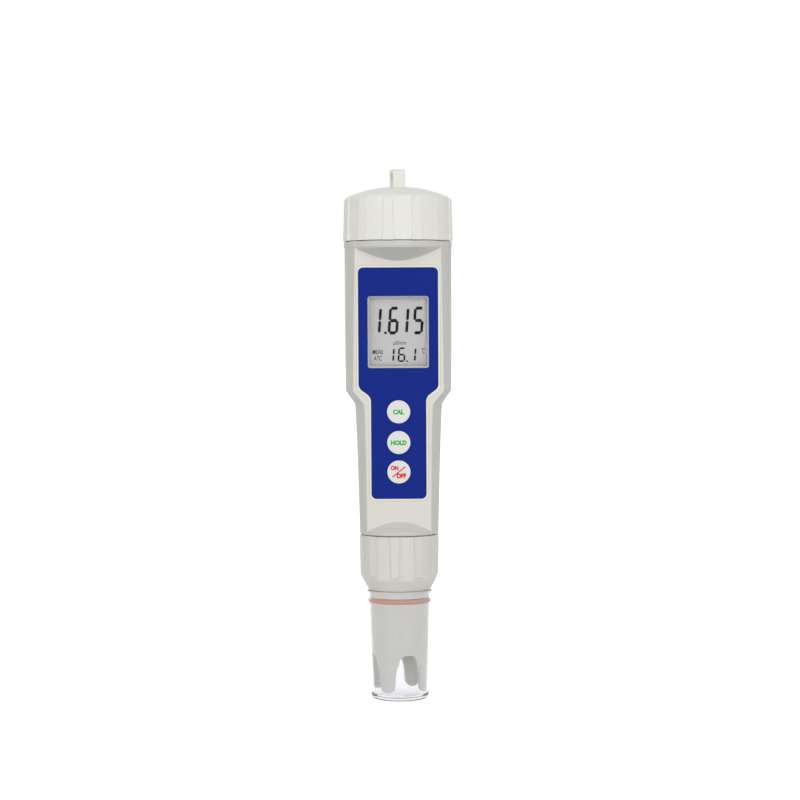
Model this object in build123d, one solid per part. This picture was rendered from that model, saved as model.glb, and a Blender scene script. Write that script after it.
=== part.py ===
from build123d import *
import math
import os

# Pen-type conductivity meter, in millimetres.
# The meter stands upright on the foot of its clear cap: +Z runs up the axis to the lanyard
# loop, the display faces -Y and +X is to the right of someone who reads it.
# The origin is the centre of the foot.

# Lengths along the axis, from the foot up
protective_cap_length = 39.0
rim_gap = 0.25
collar_length = 19.5
collar_gap = 0.3
housing_length = 103.45
battery_cap_gap = 0.2
battery_cap_side = 15.3
dome_rise = 3.9
loop_height = 6.1

z_collar = protective_cap_length + rim_gap
z_housing = z_collar + collar_length + collar_gap
z_housing_top = z_housing + housing_length
z_battery_cap = z_housing_top + battery_cap_gap
z_dome = z_battery_cap + battery_cap_side
z_dome_top = z_dome + dome_rise
z_loop_top = z_dome_top + loop_height

# Clearances
running_gap = 0.08
thread_gap = 0.3
body_gap = 0.3
glue_gap = 0.05

# Screw threads of the battery cap and the collar, drawn plain: the pitch sets the joints
thread_pitch = 2.0

# Housing: a round grip that flares into a wider display head
wall = 2.2
grip_r_bottom = 13.93
grip_r_bend = 14.85
grip_r_top = 15.45
grip_bend_height = 39.3
grip_height = 46.1
shoulder_height = 4.7
shoulder_round_low = 1.2
shoulder_round_high = 1.6
head_r_bottom = 18.72
head_r_top = 18.88
top_ring_r = 19.1
top_ring_height = 2.15
top_ring_round = 0.6
grip_edge_round = 0.35

# Flat front, tilted so that it leaves the axis towards the head
face_tilt = 1.79
face_depth_bottom = 8.3
face_low_margin = 1.45
face_low_rise = 0.6
face_high_margin = 2.4
face_high_rise = 0.605
face_edge_round = 0.5

# Neck for the battery cap and neck for the collar
top_neck_height = 8.3
top_neck_r = 16.9
top_neck_bore = 15.2
top_pilot_height = 3.2
bottom_neck_height = 11.0
bottom_neck_r = 11.9
bottom_neck_bore = 10.2
housing_floor = 1.0

# Label: wide beside the display, narrow beside the buttons
label_top = 153.4
label_bottom = 71.8
label_wide = 28.1
label_narrow = 19.45
label_waist_top = 111.7
label_waist_bottom = 106.5
label_corner_wide = 2.0
label_corner_narrow = 1.7
label_rim = 0.7
recess_depth = 0.35
label_thickness = 0.3

# Display
window_width = 21.4
window_height = 25.2
window_centre = 130.65
window_corner = 0.8
window_bevel = 0.55
window_sill_depth = 1.1
pane_overlap = 1.1
pane_thickness = 1.0
lcd_thickness = 2.0
lcd_overlap = 0.95
lcd_depth = 2.7
lcd_frame_wall = 1.0
lcd_frame_setback = 0.3
zebra_width = 1.8
zebra_inset = 0.8

# Buttons
button_places = {"calibrate_button": 102.6, "hold_button": 91.8, "power_button": 81.4}
button_r = 4.08
button_proud = 0.4
button_edge_round = 0.35
button_side_gap = 0.16
button_rim_width = 0.42
button_flange_r = 4.9
button_flange_thickness = 0.6
button_travel = 0.5
keypad_width = 13.0
keypad_margin = 6.4
keypad_rim = 1.1
keypad_thickness = 0.6
keypad_corner = 2.0

# Board and what stands on it
board_depth = 8.0
board_thickness = 1.2
board_wide = 25.0
board_narrow = 18.0
board_top = 148.0
board_step = 111.0
board_corner = 0.8
switch_side = 6.0
switch_body_height = 2.7
switch_plunger_r = 1.7
switch_plunger_height = 0.7
chip_places = {
    "processor": (0.0, 130.0, 10.0, 10.0, 1.4),
    "amplifier": (-3.6, 98.0, 5.0, 4.0, 1.5),
    "regulator": (5.4, 118.0, 3.0, 3.0, 1.1),
    "crystal": (7.6, 132.0, 3.2, 8.0, 1.6),
    "capacitor": (5.2, 96.0, 4.0, 4.0, 1.7),
    "memory": (-4.4, 86.0, 5.0, 4.0, 1.5),
}

# Chassis: spine behind the board, tube for the cells, flange on the top neck
spine_gap = 2.0
spine_thickness = 1.6
spine_width = 16.0
spine_rib_depth = 2.4
spine_rib_thickness = 1.2
screw_places = (76.0, 113.0)
screw_boss_r = 2.2
screw_r = 0.8
screw_length = 3.4
screw_head_r = 1.7
screw_head_height = 0.9
cell_r = 5.8
cell_height = 5.4
cell_count = 4
cell_edge_round = 0.5
cell_top_r = 4.6
cell_top_step = 0.4
cell_tube_gap = 0.15
cell_tube_wall = 1.5
cell_tube_floor = 1.5
flange_thickness = 1.2
flange_r = 16.6
gusset_count = 4
gusset_thickness = 1.4
gusset_end_gap = 0.2
contact_thickness = 0.3
contact_width = 3.0
contact_dimple_r = 1.5
contact_dimple_height = 0.2
contact_ring_r = 9.4
contact_ring_width = 1.6
strip_drop_gap = 0.45

# Battery cap
battery_cap_land_bottom = 18.85
battery_cap_land_top = 18.45
battery_cap_edge_round = 1.3
cap_rib_count = 12
cap_rib_phase = -10.0
cap_rib_height = 0.55
cap_rib_wide = 3.6
cap_rib_narrow = 2.8
cap_rib_drop = 0.28
rib_root = 0.5
cap_thread_wall_height = 10.4
cap_roof = 2.6
cap_chamber_r = 15.6
contact_stud_r = 1.6
contact_stud_length = 3.4
contact_boss_r = 3.4
contact_boss_gap = 0.4
contact_skirt_thickness = 0.8
loop_width = 4.4
loop_span = 7.0
loop_bar = 1.5
loop_hole_height = 2.9
loop_turn = 11.0
loop_corner = 1.7
loop_edge_round = 0.35

# Seal rings: section height, depth of groove and how far the ring stands above it
cap_seal_height = 1.1
cap_seal_depth = 0.8
cap_seal_lift = 1.3
probe_seal_height = 1.5
probe_seal_depth = 1.0
probe_seal_lift = 4.2
grip_ring_height = 1.6
grip_ring_depth = 1.13
grip_ring_drop = 3.5
ring_side_gap = 0.1

# Collar nut
collar_land_top = 13.35
collar_land_bottom = 13.17
collar_cone_r = 10.95
collar_cone_height = 3.95
collar_edge_round = 1.0
collar_rib_count = 10
collar_rib_phase = -6.5
collar_rib_height = 0.63
collar_rib_wide = 3.3
collar_rib_narrow = 2.5
collar_rib_setback = 0.15
collar_floor = 6.15

# Probe stem, guard and sensor
stem_flange_r = 11.7
stem_flange_thickness = 2.0
stem_waist_r = 9.3
stem_spigot_r = 8.6
stem_spigot_length = 6.0
stem_top_gap = 0.3
guard_side_gap = 0.15
guard_foot = 3.1
guard_wall = 1.65
notch_count = 4
notch_phase = 18.0
notch_top = 16.45
notch_top_half = 2.55
notch_top_round = 2.5
notch_shoulder = 10.2
notch_shoulder_half = 4.25
notch_bottom_half = 4.6
notch_waist_round = 8.0
petal_round = 2.3
core_r = 5.0
core_bottom = 24.5
core_length = 25.0
electrode_r = 0.9
electrode_spacing = 4.4
electrode_length = 7.0
thermometer_r = 1.1
thermometer_offset = 2.8
thermometer_length = 6.5
pin_root = 1.0
pin_r = 0.5
pin_length = 4.0
pin_count = 4
pin_circle_r = 3.5
pin_gap = 0.1
socket_plug_height = 1.7
socket_flange_height = 4.5
socket_flange_r = 11.3

# Protective cap
cap_bore_r = 10.765
cap_bore_taper = 0.029
cap_wall = 0.6
cap_floor = 1.5
cap_foot_round = 2.0
cap_inner_round = 1.3
cap_lip_height = 0.8
cap_lip_width = 0.15


def spun(edges, roundings):
    """Solid of revolution of a half section: its edges, and (radius, height, rounding) corners."""
    section = Sketch() + make_face(edges)
    for radius, height, rounding in roundings:
        vertex = section.vertices().sort_by_distance(Vector(radius, height, 0))[0]
        section = fillet(vertex, rounding)
    return revolve(Plane.XZ * section, Axis.Z)


def turned(*corners):
    """Solid of revolution whose half section has corners (radius, height[, rounding])."""
    outline = Polyline(*[(corner[0], corner[1]) for corner in corners], close=True)
    return spun(outline.edges(), [corner for corner in corners if len(corner) == 3])


def ring(inner, outer, low, high):
    """Plain ring between two radii and two heights."""
    return turned((inner, low), (outer, low), (outer, high), (inner, high))


def pattern(piece, count, phase):
    """Copies of a piece that stands at the front, spread evenly round the axis."""
    return [Rot(0, 0, phase + 360.0 / count * k) * piece for k in range(count)]


def save(name, shape):
    export_step(shape, f"parts/{name}.step")


# The flat front as a plane: local x is +X, local y runs up the face, local z points out.
# A height on the face is given as its height above the foot.
face_slope = math.tan(math.radians(face_tilt))
face_cos = math.cos(math.radians(face_tilt))
face_sin = math.sin(math.radians(face_tilt))
face_depth_origin = face_depth_bottom - face_slope * (z_housing + face_low_margin)
face = Plane(origin=(0, -face_depth_origin, 0), x_dir=(1, 0, 0), z_dir=(0, -face_cos, -face_sin))


def on_face(sketch, outer, inner):
    """Prism of a sketch drawn on the flat front, between two depths below its surface."""
    return face * Pos(0, 0, -inner) * extrude(sketch, inner - outer)


def face_y(height, depth):
    """Y of a point on the middle line of the front, at a height and a depth below the face."""
    return -(face_depth_origin + face_slope * height) + depth / face_cos


def rounded_box(width, height, radius, centre):
    return Pos(0, centre) * RectangleRounded(width, height, radius)


def label_outline(margin):
    """Outline of the label, grown by a margin: two straight parts joined by an S on each side."""
    wide = label_wide / 2 + margin
    narrow = label_narrow / 2 + margin
    top = label_top + margin
    bottom = label_bottom - margin
    waist = Bezier(
        (wide, label_waist_top),
        (wide, (label_waist_top + label_waist_bottom) / 2 - margin),
        (narrow, (label_waist_top + label_waist_bottom) / 2),
        (narrow, label_waist_bottom - margin),
    )
    right = Polyline((0, top), (wide, top), (wide, label_waist_top))
    foot = Polyline((narrow, label_waist_bottom - margin), (narrow, bottom), (0, bottom))
    half = Wire([*right.edges(), *waist.edges(), *foot.edges()])
    sketch = Sketch() + make_face([*half.edges(), *half.mirror(Plane.YZ).edges()])
    upper = sketch.vertices().group_by(Axis.Y)[-1].filter_by(lambda v: abs(v.X) > 1)
    sketch = fillet(upper, label_corner_wide + margin)
    lower = sketch.vertices().group_by(Axis.Y)[0].filter_by(lambda v: abs(v.X) > 1)
    return fillet(lower, label_corner_narrow + margin)


# Radii of the housing, outside and inside
def housing_round():
    """Outside of the housing as a body of revolution, before the front is cut flat."""
    z_shoulder = z_housing + grip_height
    z_head = z_shoulder + shoulder_height
    z_ring = z_housing_top - top_ring_height
    grip_side = Bezier(
        (grip_r_bottom, z_housing), (grip_r_bend, z_housing + grip_bend_height), (grip_r_top, z_shoulder)
    )
    head_side = Polyline(
        (grip_r_top, z_shoulder),
        (head_r_bottom, z_head),
        (head_r_top, z_ring),
        (top_ring_r, z_ring + (top_ring_r - head_r_top)),
        (top_ring_r, z_housing_top),
        (0, z_housing_top),
        (0, z_housing),
        (grip_r_bottom, z_housing),
    )
    roundings = [
        (grip_r_bottom, z_housing, grip_edge_round),
        (grip_r_top, z_shoulder, shoulder_round_low),
        (head_r_bottom, z_head, shoulder_round_high),
        (top_ring_r, z_housing_top, top_ring_round),
    ]
    return spun([*grip_side.edges(), *head_side.edges()], roundings)


def front_block():
    """What the flat front takes away: ahead of the face, between a lower and an upper cone."""
    reach = 2 * top_ring_r
    low = z_housing + face_low_margin
    high = z_housing_top - face_high_margin
    spool = turned(
        (0, low + grip_r_bottom * face_low_rise),
        (reach, low + (grip_r_bottom - reach) * face_low_rise),
        (reach, high + (reach - head_r_top) * face_high_rise),
        (0, high - head_r_top * face_high_rise),
    )
    ahead = on_face(Pos(0, z_housing_top / 2) * Rectangle(2 * reach, 3 * z_housing_top), -reach, 0)
    return spool & ahead


def behind_face(depth):
    """Everything behind a plane at a depth below the flat front."""
    plane = Pos(0, z_housing_top / 2) * Rectangle(4 * top_ring_r, 2 * z_housing_top)
    return on_face(plane, depth, 4 * top_ring_r)


def housing_cavity():
    """Inside of the housing: round, flat behind the front, and open through both necks."""
    z_floor = z_housing + housing_floor
    z_shoulder = z_housing + grip_height
    z_head = z_shoulder + shoulder_height
    z_roof = z_housing_top - wall + 0.7
    room = turned(
        (0, z_floor),
        (grip_r_bottom - wall, z_floor),
        (grip_r_bend - wall, z_housing + grip_bend_height),
        (grip_r_top - wall, z_shoulder + 1.0),
        (head_r_bottom - wall, z_head + 1.0),
        (head_r_top - wall, z_roof - 1.5),
        (top_neck_bore, z_roof),
        (0, z_roof),
    )
    top_bore = turned(
        (0, z_roof - 1.0), (top_neck_bore, z_roof - 1.0), (top_neck_bore, z_neck_top), (0, z_neck_top)
    )
    z_mouth = z_housing - bottom_neck_height
    low_bore = turned((0, z_mouth), (bottom_neck_bore, z_mouth), (bottom_neck_bore, z_floor), (0, z_floor))
    return (room & behind_face(wall)) + top_bore + low_bore


z_neck_top = z_housing_top + top_neck_height
z_neck_bottom = z_housing - bottom_neck_height


def necks():
    """Neck for the battery cap with its seal groove, and neck for the collar."""
    z_pilot = z_housing_top + top_pilot_height
    z_seal = z_housing_top + cap_seal_lift
    seal_floor = top_neck_r - cap_seal_depth
    upper = turned(
        (0, z_housing_top - 1.0),
        (top_neck_r, z_housing_top - 1.0),
        (top_neck_r, z_seal),
        (seal_floor, z_seal),
        (seal_floor, z_seal + cap_seal_height + 2 * ring_side_gap),
        (top_neck_r, z_seal + cap_seal_height + 2 * ring_side_gap),
        (top_neck_r, z_pilot),
        (top_neck_r - thread_gap / 2, z_pilot + thread_gap / 2),
        (top_neck_r - thread_gap / 2, z_neck_top, 0.4),
        (0, z_neck_top),
    )
    lower = turned(
        (0, z_neck_bottom),
        (bottom_neck_r, z_neck_bottom, 0.5),
        (bottom_neck_r, z_housing + housing_floor),
        (0, z_housing + housing_floor),
    )
    return upper + lower


def window_cut():
    """Display opening: a bevel from the label down to a sill, and a pocket behind for the pane."""
    sill_width = window_width - 2 * window_bevel
    sill_height = window_height - 2 * window_bevel
    mouth = rounded_box(window_width, window_height, window_corner, window_centre)
    sill = rounded_box(sill_width, sill_height, window_corner / 2, window_centre)
    bevel = loft([face * Pos(0, 0, -recess_depth) * mouth, face * Pos(0, 0, -window_sill_depth) * sill])
    through = on_face(sill, recess_depth, window_sill_depth + 0.2)
    pocket = on_face(pane_outline(0), window_sill_depth, wall + 0.2)
    return bevel + through + pocket


def pane_outline(margin):
    width = window_width - 2 * window_bevel + 2 * pane_overlap - 2 * margin
    height = window_height - 2 * window_bevel + 2 * pane_overlap - 2 * margin
    return rounded_box(width, height, window_corner, window_centre)


def main_housing():
    """Moulded housing: grip, display head, flat front with label recess, window and button holes."""
    body = housing_round() - front_block()
    flat = body.faces().filter_by(lambda f: abs(f.normal_at().dot(face.z_dir)) > 0.9999)
    flat = flat.sort_by(SortBy.AREA)[-1]
    long_edges = flat.edges().filter_by(lambda e: abs((e @ 0.5).X) > 1.0)
    body = fillet(long_edges, face_edge_round)
    body = body + necks() - housing_cavity()
    recess = on_face(label_outline(label_rim), -1.0, recess_depth)
    holes = Part()
    for place in button_places.values():
        hole_r = button_r + button_side_gap
        rim = on_face(Pos(0, place) * Circle(hole_r + button_rim_width), -2.0, recess_depth)
        recess = recess - rim
        holes = holes + on_face(Pos(0, place) * Circle(hole_r), -1.0, wall + 1.0)
    return body - recess - holes - window_cut()


def front_label():
    """Label sheet in its recess, cut out for the display and for the rims round the buttons."""
    sheet = label_outline(label_rim - 0.1)
    sheet = sheet - rounded_box(window_width, window_height, window_corner, window_centre)
    for place in button_places.values():
        sheet = sheet - Pos(0, place) * Circle(button_r + button_side_gap + button_rim_width + 0.1)
    return on_face(sheet, recess_depth - label_thickness, recess_depth)


def display_window():
    """Clear pane glued behind the sill of the display opening."""
    return on_face(pane_outline(glue_gap), window_sill_depth, window_sill_depth + pane_thickness)


# The display stands behind the pane, on two contact strips inside its frame on the board
lcd_width = window_width - 2 * window_bevel + 2 * lcd_overlap + 0.6
lcd_height = window_height - 2 * window_bevel + 2 * lcd_overlap + 1.4
lcd_back = lcd_depth + lcd_thickness


def lcd_panel():
    glass = rounded_box(lcd_width, lcd_height, 0.4, window_centre)
    return on_face(glass, lcd_depth, lcd_back)


def lcd_holder():
    """Frame round the display, with a ledge under its long sides, standing on the board."""
    inner_width = lcd_width + 2 * glue_gap
    inner_height = lcd_height + 2 * glue_gap
    outer = rounded_box(
        inner_width + 2 * lcd_frame_wall, inner_height + 2 * lcd_frame_wall, 1.0, window_centre
    )
    inner = rounded_box(inner_width, inner_height, 0.4, window_centre)
    ledge = rounded_box(inner_width - 2 * lcd_frame_wall, inner_height - 0.4, 0.4, window_centre)
    frame_top = lcd_depth + lcd_frame_setback
    return on_face(outer - inner, frame_top, board_depth) + on_face(inner - ledge, lcd_back, board_depth)


def zebra_strips():
    """Two rubber contact strips pressed between the display and the board."""
    strip_length = lcd_width - 2 * lcd_frame_wall - 0.6
    offset = lcd_height / 2 - zebra_inset - zebra_width / 2
    strips = [
        on_face(Pos(0, window_centre + side * offset) * Rectangle(strip_length, zebra_width), lcd_back, board_depth)
        for side in (-1, 1)
    ]
    return Compound(children=[strip.solid() for strip in strips])


def push_button(place):
    """Round button with a retaining flange behind the wall."""
    flange = wall + body_gap
    spot = face * Pos(0, place, 0)
    cap = extrude(Circle(button_r), flange + button_proud)
    cap = fillet(cap.edges().sort_by(Axis.Z)[-1], button_edge_round)
    cap = Pos(0, 0, -flange) * cap
    rim = Pos(0, 0, -flange - button_flange_thickness) * extrude(Circle(button_flange_r), button_flange_thickness)
    return spot * (cap + rim)


button_back = wall + body_gap + button_flange_thickness
keypad_front = button_back + button_travel + 0.1


def keypad_seal():
    """Rubber tray behind the buttons: its rim seals on the wall, its floor flexes under each one."""
    middle = (max(button_places.values()) + min(button_places.values())) / 2
    height = max(button_places.values()) - min(button_places.values()) + 2 * keypad_margin
    outer = rounded_box(keypad_width, height, keypad_corner, middle)
    inner = rounded_box(keypad_width - 2 * keypad_rim, height - 2 * keypad_rim, keypad_corner - keypad_rim, middle)
    floor_back = keypad_front + keypad_thickness
    return on_face(outer, wall, floor_back) - on_face(inner, wall, keypad_front)


def circuit_board():
    """Board along the back of the display and buttons: wide in the head, narrow in the grip."""
    bottom = z_socket_top + 0.3
    wide = Pos(0, (board_step + board_top) / 2) * Rectangle(board_wide, board_top - board_step)
    narrow = Pos(0, (bottom + board_step) / 2) * Rectangle(board_narrow, board_step - bottom)
    outline = fillet((wide + narrow).vertices(), board_corner)
    for place in screw_places:
        outline = outline - Pos(0, place) * Circle(screw_r + 0.1)
    return on_face(outline, board_depth, board_depth + board_thickness)


def board_chips():
    """Main components on the back of the board."""
    back = board_depth + board_thickness
    chips = [
        on_face(Pos(x, place) * Rectangle(width, height), back, back + thick)
        for x, place, width, height, thick in chip_places.values()
    ]
    return Compound(children=[chip.solid() for chip in chips])


def button_switches():
    """A tactile switch on the board behind each button."""
    switches = []
    for place in button_places.values():
        top = board_depth - switch_body_height
        body = on_face(Pos(0, place) * Rectangle(switch_side, switch_side), top, board_depth)
        plunger = on_face(Pos(0, place) * Circle(switch_plunger_r), top - switch_plunger_height, top)
        switches.append((body + plunger).solid())
    return Compound(children=switches)


# Cell tube in the top neck
z_flange = z_neck_top
cell_tube_bore = cell_r + cell_tube_gap
cell_tube_r = cell_tube_bore + cell_tube_wall
cell_stack = cell_count * cell_height
cells_above_flange = 2.2
z_cells_top = z_flange + flange_thickness + cells_above_flange
z_cells = z_cells_top - cell_stack
z_tube_floor = z_cells - contact_thickness - contact_dimple_height
spine_front = board_depth + board_thickness + spine_gap


def inner_chassis():
    """Moulded carrier: spine and ribs behind the board, cell tube, gussets and top flange."""
    z_base = z_tube_floor - cell_tube_floor
    tube = turned(
        (0, z_base),
        (cell_tube_r, z_base, 0.6),
        (cell_tube_r, z_flange),
        (flange_r, z_flange),
        (flange_r, z_flange + flange_thickness, 0.3),
        (cell_tube_bore, z_flange + flange_thickness),
        (cell_tube_bore, z_tube_floor),
        (0, z_tube_floor),
    )
    gusset_reach = top_neck_bore - gusset_end_gap
    gusset_low = z_housing_top - 1.0
    gusset = Pos(0, -(cell_tube_bore + 0.5 + gusset_reach) / 2, (gusset_low + z_flange) / 2) * Box(
        gusset_thickness, gusset_reach - cell_tube_bore - 0.5, z_flange - gusset_low
    )
    for piece in pattern(gusset, gusset_count, 45.0):
        tube = tube + piece
    bottom = z_socket_top + 0.3
    top = z_base + 0.5
    plate = Pos(0, (bottom + top) / 2) * Rectangle(spine_width, top - bottom)
    spine = on_face(plate, spine_front, spine_front + spine_thickness)
    for side in (-1, 1):
        rib_x = side * (spine_width - spine_rib_thickness) / 2
        rib = Pos(rib_x, (bottom + top) / 2) * Rectangle(spine_rib_thickness, top - bottom)
        rib_back = spine_front + spine_thickness + spine_rib_depth
        spine = spine + on_face(rib, spine_front, rib_back)
    for place in screw_places:
        boss = Pos(0, place) * Circle(screw_boss_r)
        spine = spine + on_face(boss, board_depth + board_thickness, spine_front + spine_thickness)
    body = tube + spine
    for place in screw_places:
        hole = Pos(0, place) * Circle(screw_r + 0.05)
        body = body - on_face(hole, board_depth, board_depth + board_thickness + screw_length)
    tail_y = face_y(z_tube_floor, board_depth + board_thickness + contact_thickness / 2)
    slot = Pos(0, tail_y, z_base) * Box(contact_width + 0.4, contact_thickness + 1.0, 2 * cell_tube_floor + 0.8)
    strip_slot = Pos(0, return_strip_y, z_flange) * Box(contact_width + 0.4, contact_thickness + 0.4, 6 * flange_thickness)
    return body - slot - strip_slot


return_strip_y = -(cell_tube_r + strip_drop_gap + contact_thickness / 2)


def board_screws():
    """Self-tapping screws that hold the board to the spine."""
    screws = []
    for place in screw_places:
        head = on_face(Pos(0, place) * Circle(screw_head_r), board_depth - screw_head_height, board_depth)
        shank_end = board_depth + board_thickness + screw_length - 0.4
        shank = on_face(Pos(0, place) * Circle(screw_r), board_depth, shank_end)
        screws.append((head + shank).solid())
    return Compound(children=screws)


def button_cells():
    """Stack of button cells, each with a rounded can and a smaller pole on top."""
    cells = []
    for k in range(cell_count):
        low = z_cells + k * cell_height
        step = low + cell_height - cell_top_step
        cell = turned(
            (0, low),
            (cell_r, low, cell_edge_round),
            (cell_r, step, cell_edge_round),
            (cell_top_r, step),
            (cell_top_r, low + cell_height),
            (0, low + cell_height),
        )
        cells.append(cell.solid())
    return Compound(children=cells)


def battery_base_contact():
    """Leaf under the stack with a dimple, and a tail that runs down to the back of the board."""
    leaf = Pos(0, 0, z_tube_floor) * extrude(Circle(cell_tube_bore - 0.2), contact_thickness)
    dimple = Pos(0, 0, z_tube_floor + contact_thickness) * extrude(
        Circle(contact_dimple_r), contact_dimple_height
    )
    back = board_depth + board_thickness
    tail_low = board_top - 3.0
    tail_outline = Pos(0, (tail_low + z_tube_floor) / 2) * Rectangle(contact_width, z_tube_floor + 0.1 - tail_low)
    tail = on_face(tail_outline, back, back + contact_thickness)
    return leaf + dimple + tail


def battery_return_strip():
    """Ring on the flange round the cells, and a strip that drops to the front of the board."""
    z_ring = z_flange + flange_thickness
    rim = ring(contact_ring_r - contact_ring_width, contact_ring_r, z_ring, z_ring + contact_thickness)
    z_foot = board_top - 1.0
    drop = Pos(0, return_strip_y, (z_foot + z_ring + contact_thickness) / 2) * Box(
        contact_width, contact_thickness, z_ring + contact_thickness - z_foot
    )
    board_y = face_y(z_foot, board_depth)
    reach = board_y - return_strip_y + contact_thickness / 2
    foot = Pos(0, board_y - reach / 2, z_foot + contact_thickness / 2) * Box(contact_width, reach, contact_thickness)
    return rim + drop + foot


# Battery cap
z_contact = z_cells_top + body_gap
z_cap_roof = z_dome_top - cap_roof


def dome_sphere_r():
    return (battery_cap_land_top**2 + dome_rise**2) / (2 * dome_rise)


def dome_profile(drop, edge_r, low):
    """Solid under the dome's sphere, lowered by a drop and cut to a radius."""
    sphere_r = dome_sphere_r()
    ball = Pos(0, 0, z_dome_top - sphere_r - drop) * Sphere(sphere_r)
    column = turned((0, low), (edge_r, low), (edge_r, z_dome_top + 1.0), (0, z_dome_top + 1.0))
    return ball & column


def tapered_rib(wide, narrow, low, high, foot_r, low_r, high_r):
    """Flat-faced rib at the front: its width and its radius taper from one end to the other."""
    low_section = Plane.XY.offset(low) * Pos(0, -(foot_r + low_r) / 2) * Rectangle(wide, low_r - foot_r)
    high_section = Plane.XY.offset(high) * Pos(0, -(foot_r + high_r) / 2) * Rectangle(narrow, high_r - foot_r)
    return loft([low_section, high_section])


def lanyard_loop():
    """Flat loop on the dome, turned a little from the front, with a squarish arch."""
    outline = Pos(0, z_loop_top - loop_height - 1.0) * Rectangle(
        loop_span, loop_height + 1.0, align=(Align.CENTER, Align.MIN)
    )
    outline = fillet(outline.vertices().group_by(Axis.Y)[-1], loop_corner)
    hole_middle = z_loop_top - loop_bar - loop_hole_height / 2
    hole = Pos(0, hole_middle) * RectangleRounded(loop_span - 2 * loop_bar, loop_hole_height, 1.0)
    plane = Plane(origin=(0, 0, 0), x_dir=(0, 1, 0), z_dir=(1, 0, 0))
    bar = plane * extrude(outline - hole, loop_width / 2, both=True)
    rims = bar.edges().filter_by(lambda e: abs((e @ 0.5).X) > loop_width / 2 - 0.01 and (e @ 0.5).Z > z_dome_top - 0.5)
    bar = fillet(rims, loop_edge_round)
    return Rot(0, 0, loop_turn) * bar


def battery_cap():
    """Screw cap: drafted skirt with raised tapered ribs, low dome and lanyard loop."""
    dome = RadiusArc((battery_cap_land_top, z_dome), (0, z_dome_top), -dome_sphere_r())
    sides = Polyline(
        (0, z_dome_top), (0, z_battery_cap), (battery_cap_land_bottom, z_battery_cap), (battery_cap_land_top, z_dome)
    )
    skirt = spun(
        [*dome.edges(), *sides.edges()],
        [
            (battery_cap_land_bottom, z_battery_cap, 0.3),
            (battery_cap_land_top, z_dome, battery_cap_edge_round),
        ],
    )
    rib = tapered_rib(
        cap_rib_wide,
        cap_rib_narrow,
        z_battery_cap,
        z_dome,
        battery_cap_land_top - rib_root,
        battery_cap_land_bottom + cap_rib_height,
        battery_cap_land_top + cap_rib_height,
    )
    rib = rib & dome_profile(cap_rib_drop, 2 * battery_cap_land_bottom, z_battery_cap - 1.0)
    body = skirt
    for piece in pattern(rib, cap_rib_count, cap_rib_phase):
        body = body + piece
    body = body + lanyard_loop()
    z_thread_top = z_battery_cap + cap_thread_wall_height
    z_pilot = z_housing_top + top_pilot_height
    pilot_bore = top_neck_r + running_gap
    bore = turned(
        (0, z_battery_cap),
        (pilot_bore, z_battery_cap),
        (pilot_bore, z_pilot - 0.4),
        (pilot_bore + thread_gap / 2, z_pilot - 0.2),
        (pilot_bore + thread_gap / 2, z_thread_top),
        (cap_chamber_r, z_thread_top + 1.0),
        (cap_chamber_r, z_cap_roof - 2.6, 1.0),
        (contact_boss_r, z_cap_roof - 1.9),
        (contact_boss_r, z_contact + contact_thickness + contact_boss_gap),
        (0, z_contact + contact_thickness + contact_boss_gap),
    )
    stud_hole_r = contact_stud_r + running_gap
    stud_top = z_contact + contact_thickness + contact_stud_length + 0.3
    stud_hole = turned((0, z_contact), (stud_hole_r, z_contact), (stud_hole_r, stud_top), (0, stud_top))
    return body - bore - stud_hole


def cap_contact_plate():
    """Contact in the battery cap: disc on a stud, with a skirt that meets the ring on the flange."""
    z_skirt = z_flange + flange_thickness + contact_thickness + body_gap
    z_top = z_contact + contact_thickness
    return turned(
        (0, z_contact),
        (contact_ring_r - contact_skirt_thickness, z_contact),
        (contact_ring_r - contact_skirt_thickness, z_skirt),
        (contact_ring_r, z_skirt),
        (contact_ring_r, z_top, 0.25),
        (contact_stud_r, z_top),
        (contact_stud_r, z_top + contact_stud_length, 0.3),
        (0, z_top + contact_stud_length),
    )


def seal_ring(inner, outer, low, height):
    """Rubber ring squeezed to an oval section between two radii."""
    oval = Pos((inner + outer) / 2, low + height / 2) * Ellipse((outer - inner) / 2, height / 2)
    return revolve(Plane.XZ * oval, Axis.Z)


def cap_seal_ring():
    floor = top_neck_r - cap_seal_depth
    return seal_ring(floor, top_neck_r + running_gap / 2, z_housing_top + cap_seal_lift + ring_side_gap, cap_seal_height)


# Collar nut
def cone_limit():
    """Solid above a cone just behind the collar's own, which trims the lower ends of the ribs."""
    slope = collar_cone_height / (collar_land_bottom - collar_cone_r)
    low = z_collar + collar_rib_setback
    wide = 2 * collar_land_top
    high = z_collar + 2 * collar_length
    return turned(
        (0, low), (collar_cone_r, low), (wide, low + slope * (wide - collar_cone_r)), (wide, high), (0, high)
    )


def probe_collar():
    """Ribbed nut that draws the probe up to the housing; a cone closes its lower end."""
    z_top = z_collar + collar_length
    z_cone = z_collar + collar_cone_height
    body = turned(
        (0, z_collar),
        (collar_cone_r, z_collar),
        (collar_land_bottom, z_cone, collar_edge_round),
        (collar_land_top, z_top, 0.3),
        (0, z_top),
    )
    rib = tapered_rib(
        collar_rib_narrow,
        collar_rib_wide,
        z_collar,
        z_top,
        collar_land_bottom - rib_root,
        collar_land_bottom + collar_rib_height,
        collar_land_top + collar_rib_height,
    )
    rib = rib & cone_limit()
    for piece in pattern(rib, collar_rib_count, collar_rib_phase):
        body = body + piece
    z_ledge = z_collar + collar_floor
    bore = turned(
        (0, z_collar),
        (stem_waist_r + running_gap, z_collar),
        (stem_waist_r + running_gap, z_ledge),
        (bottom_neck_r + thread_gap, z_ledge, 0.3),
        (bottom_neck_r + thread_gap, z_top),
        (0, z_top),
    )
    return body - bore


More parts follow.
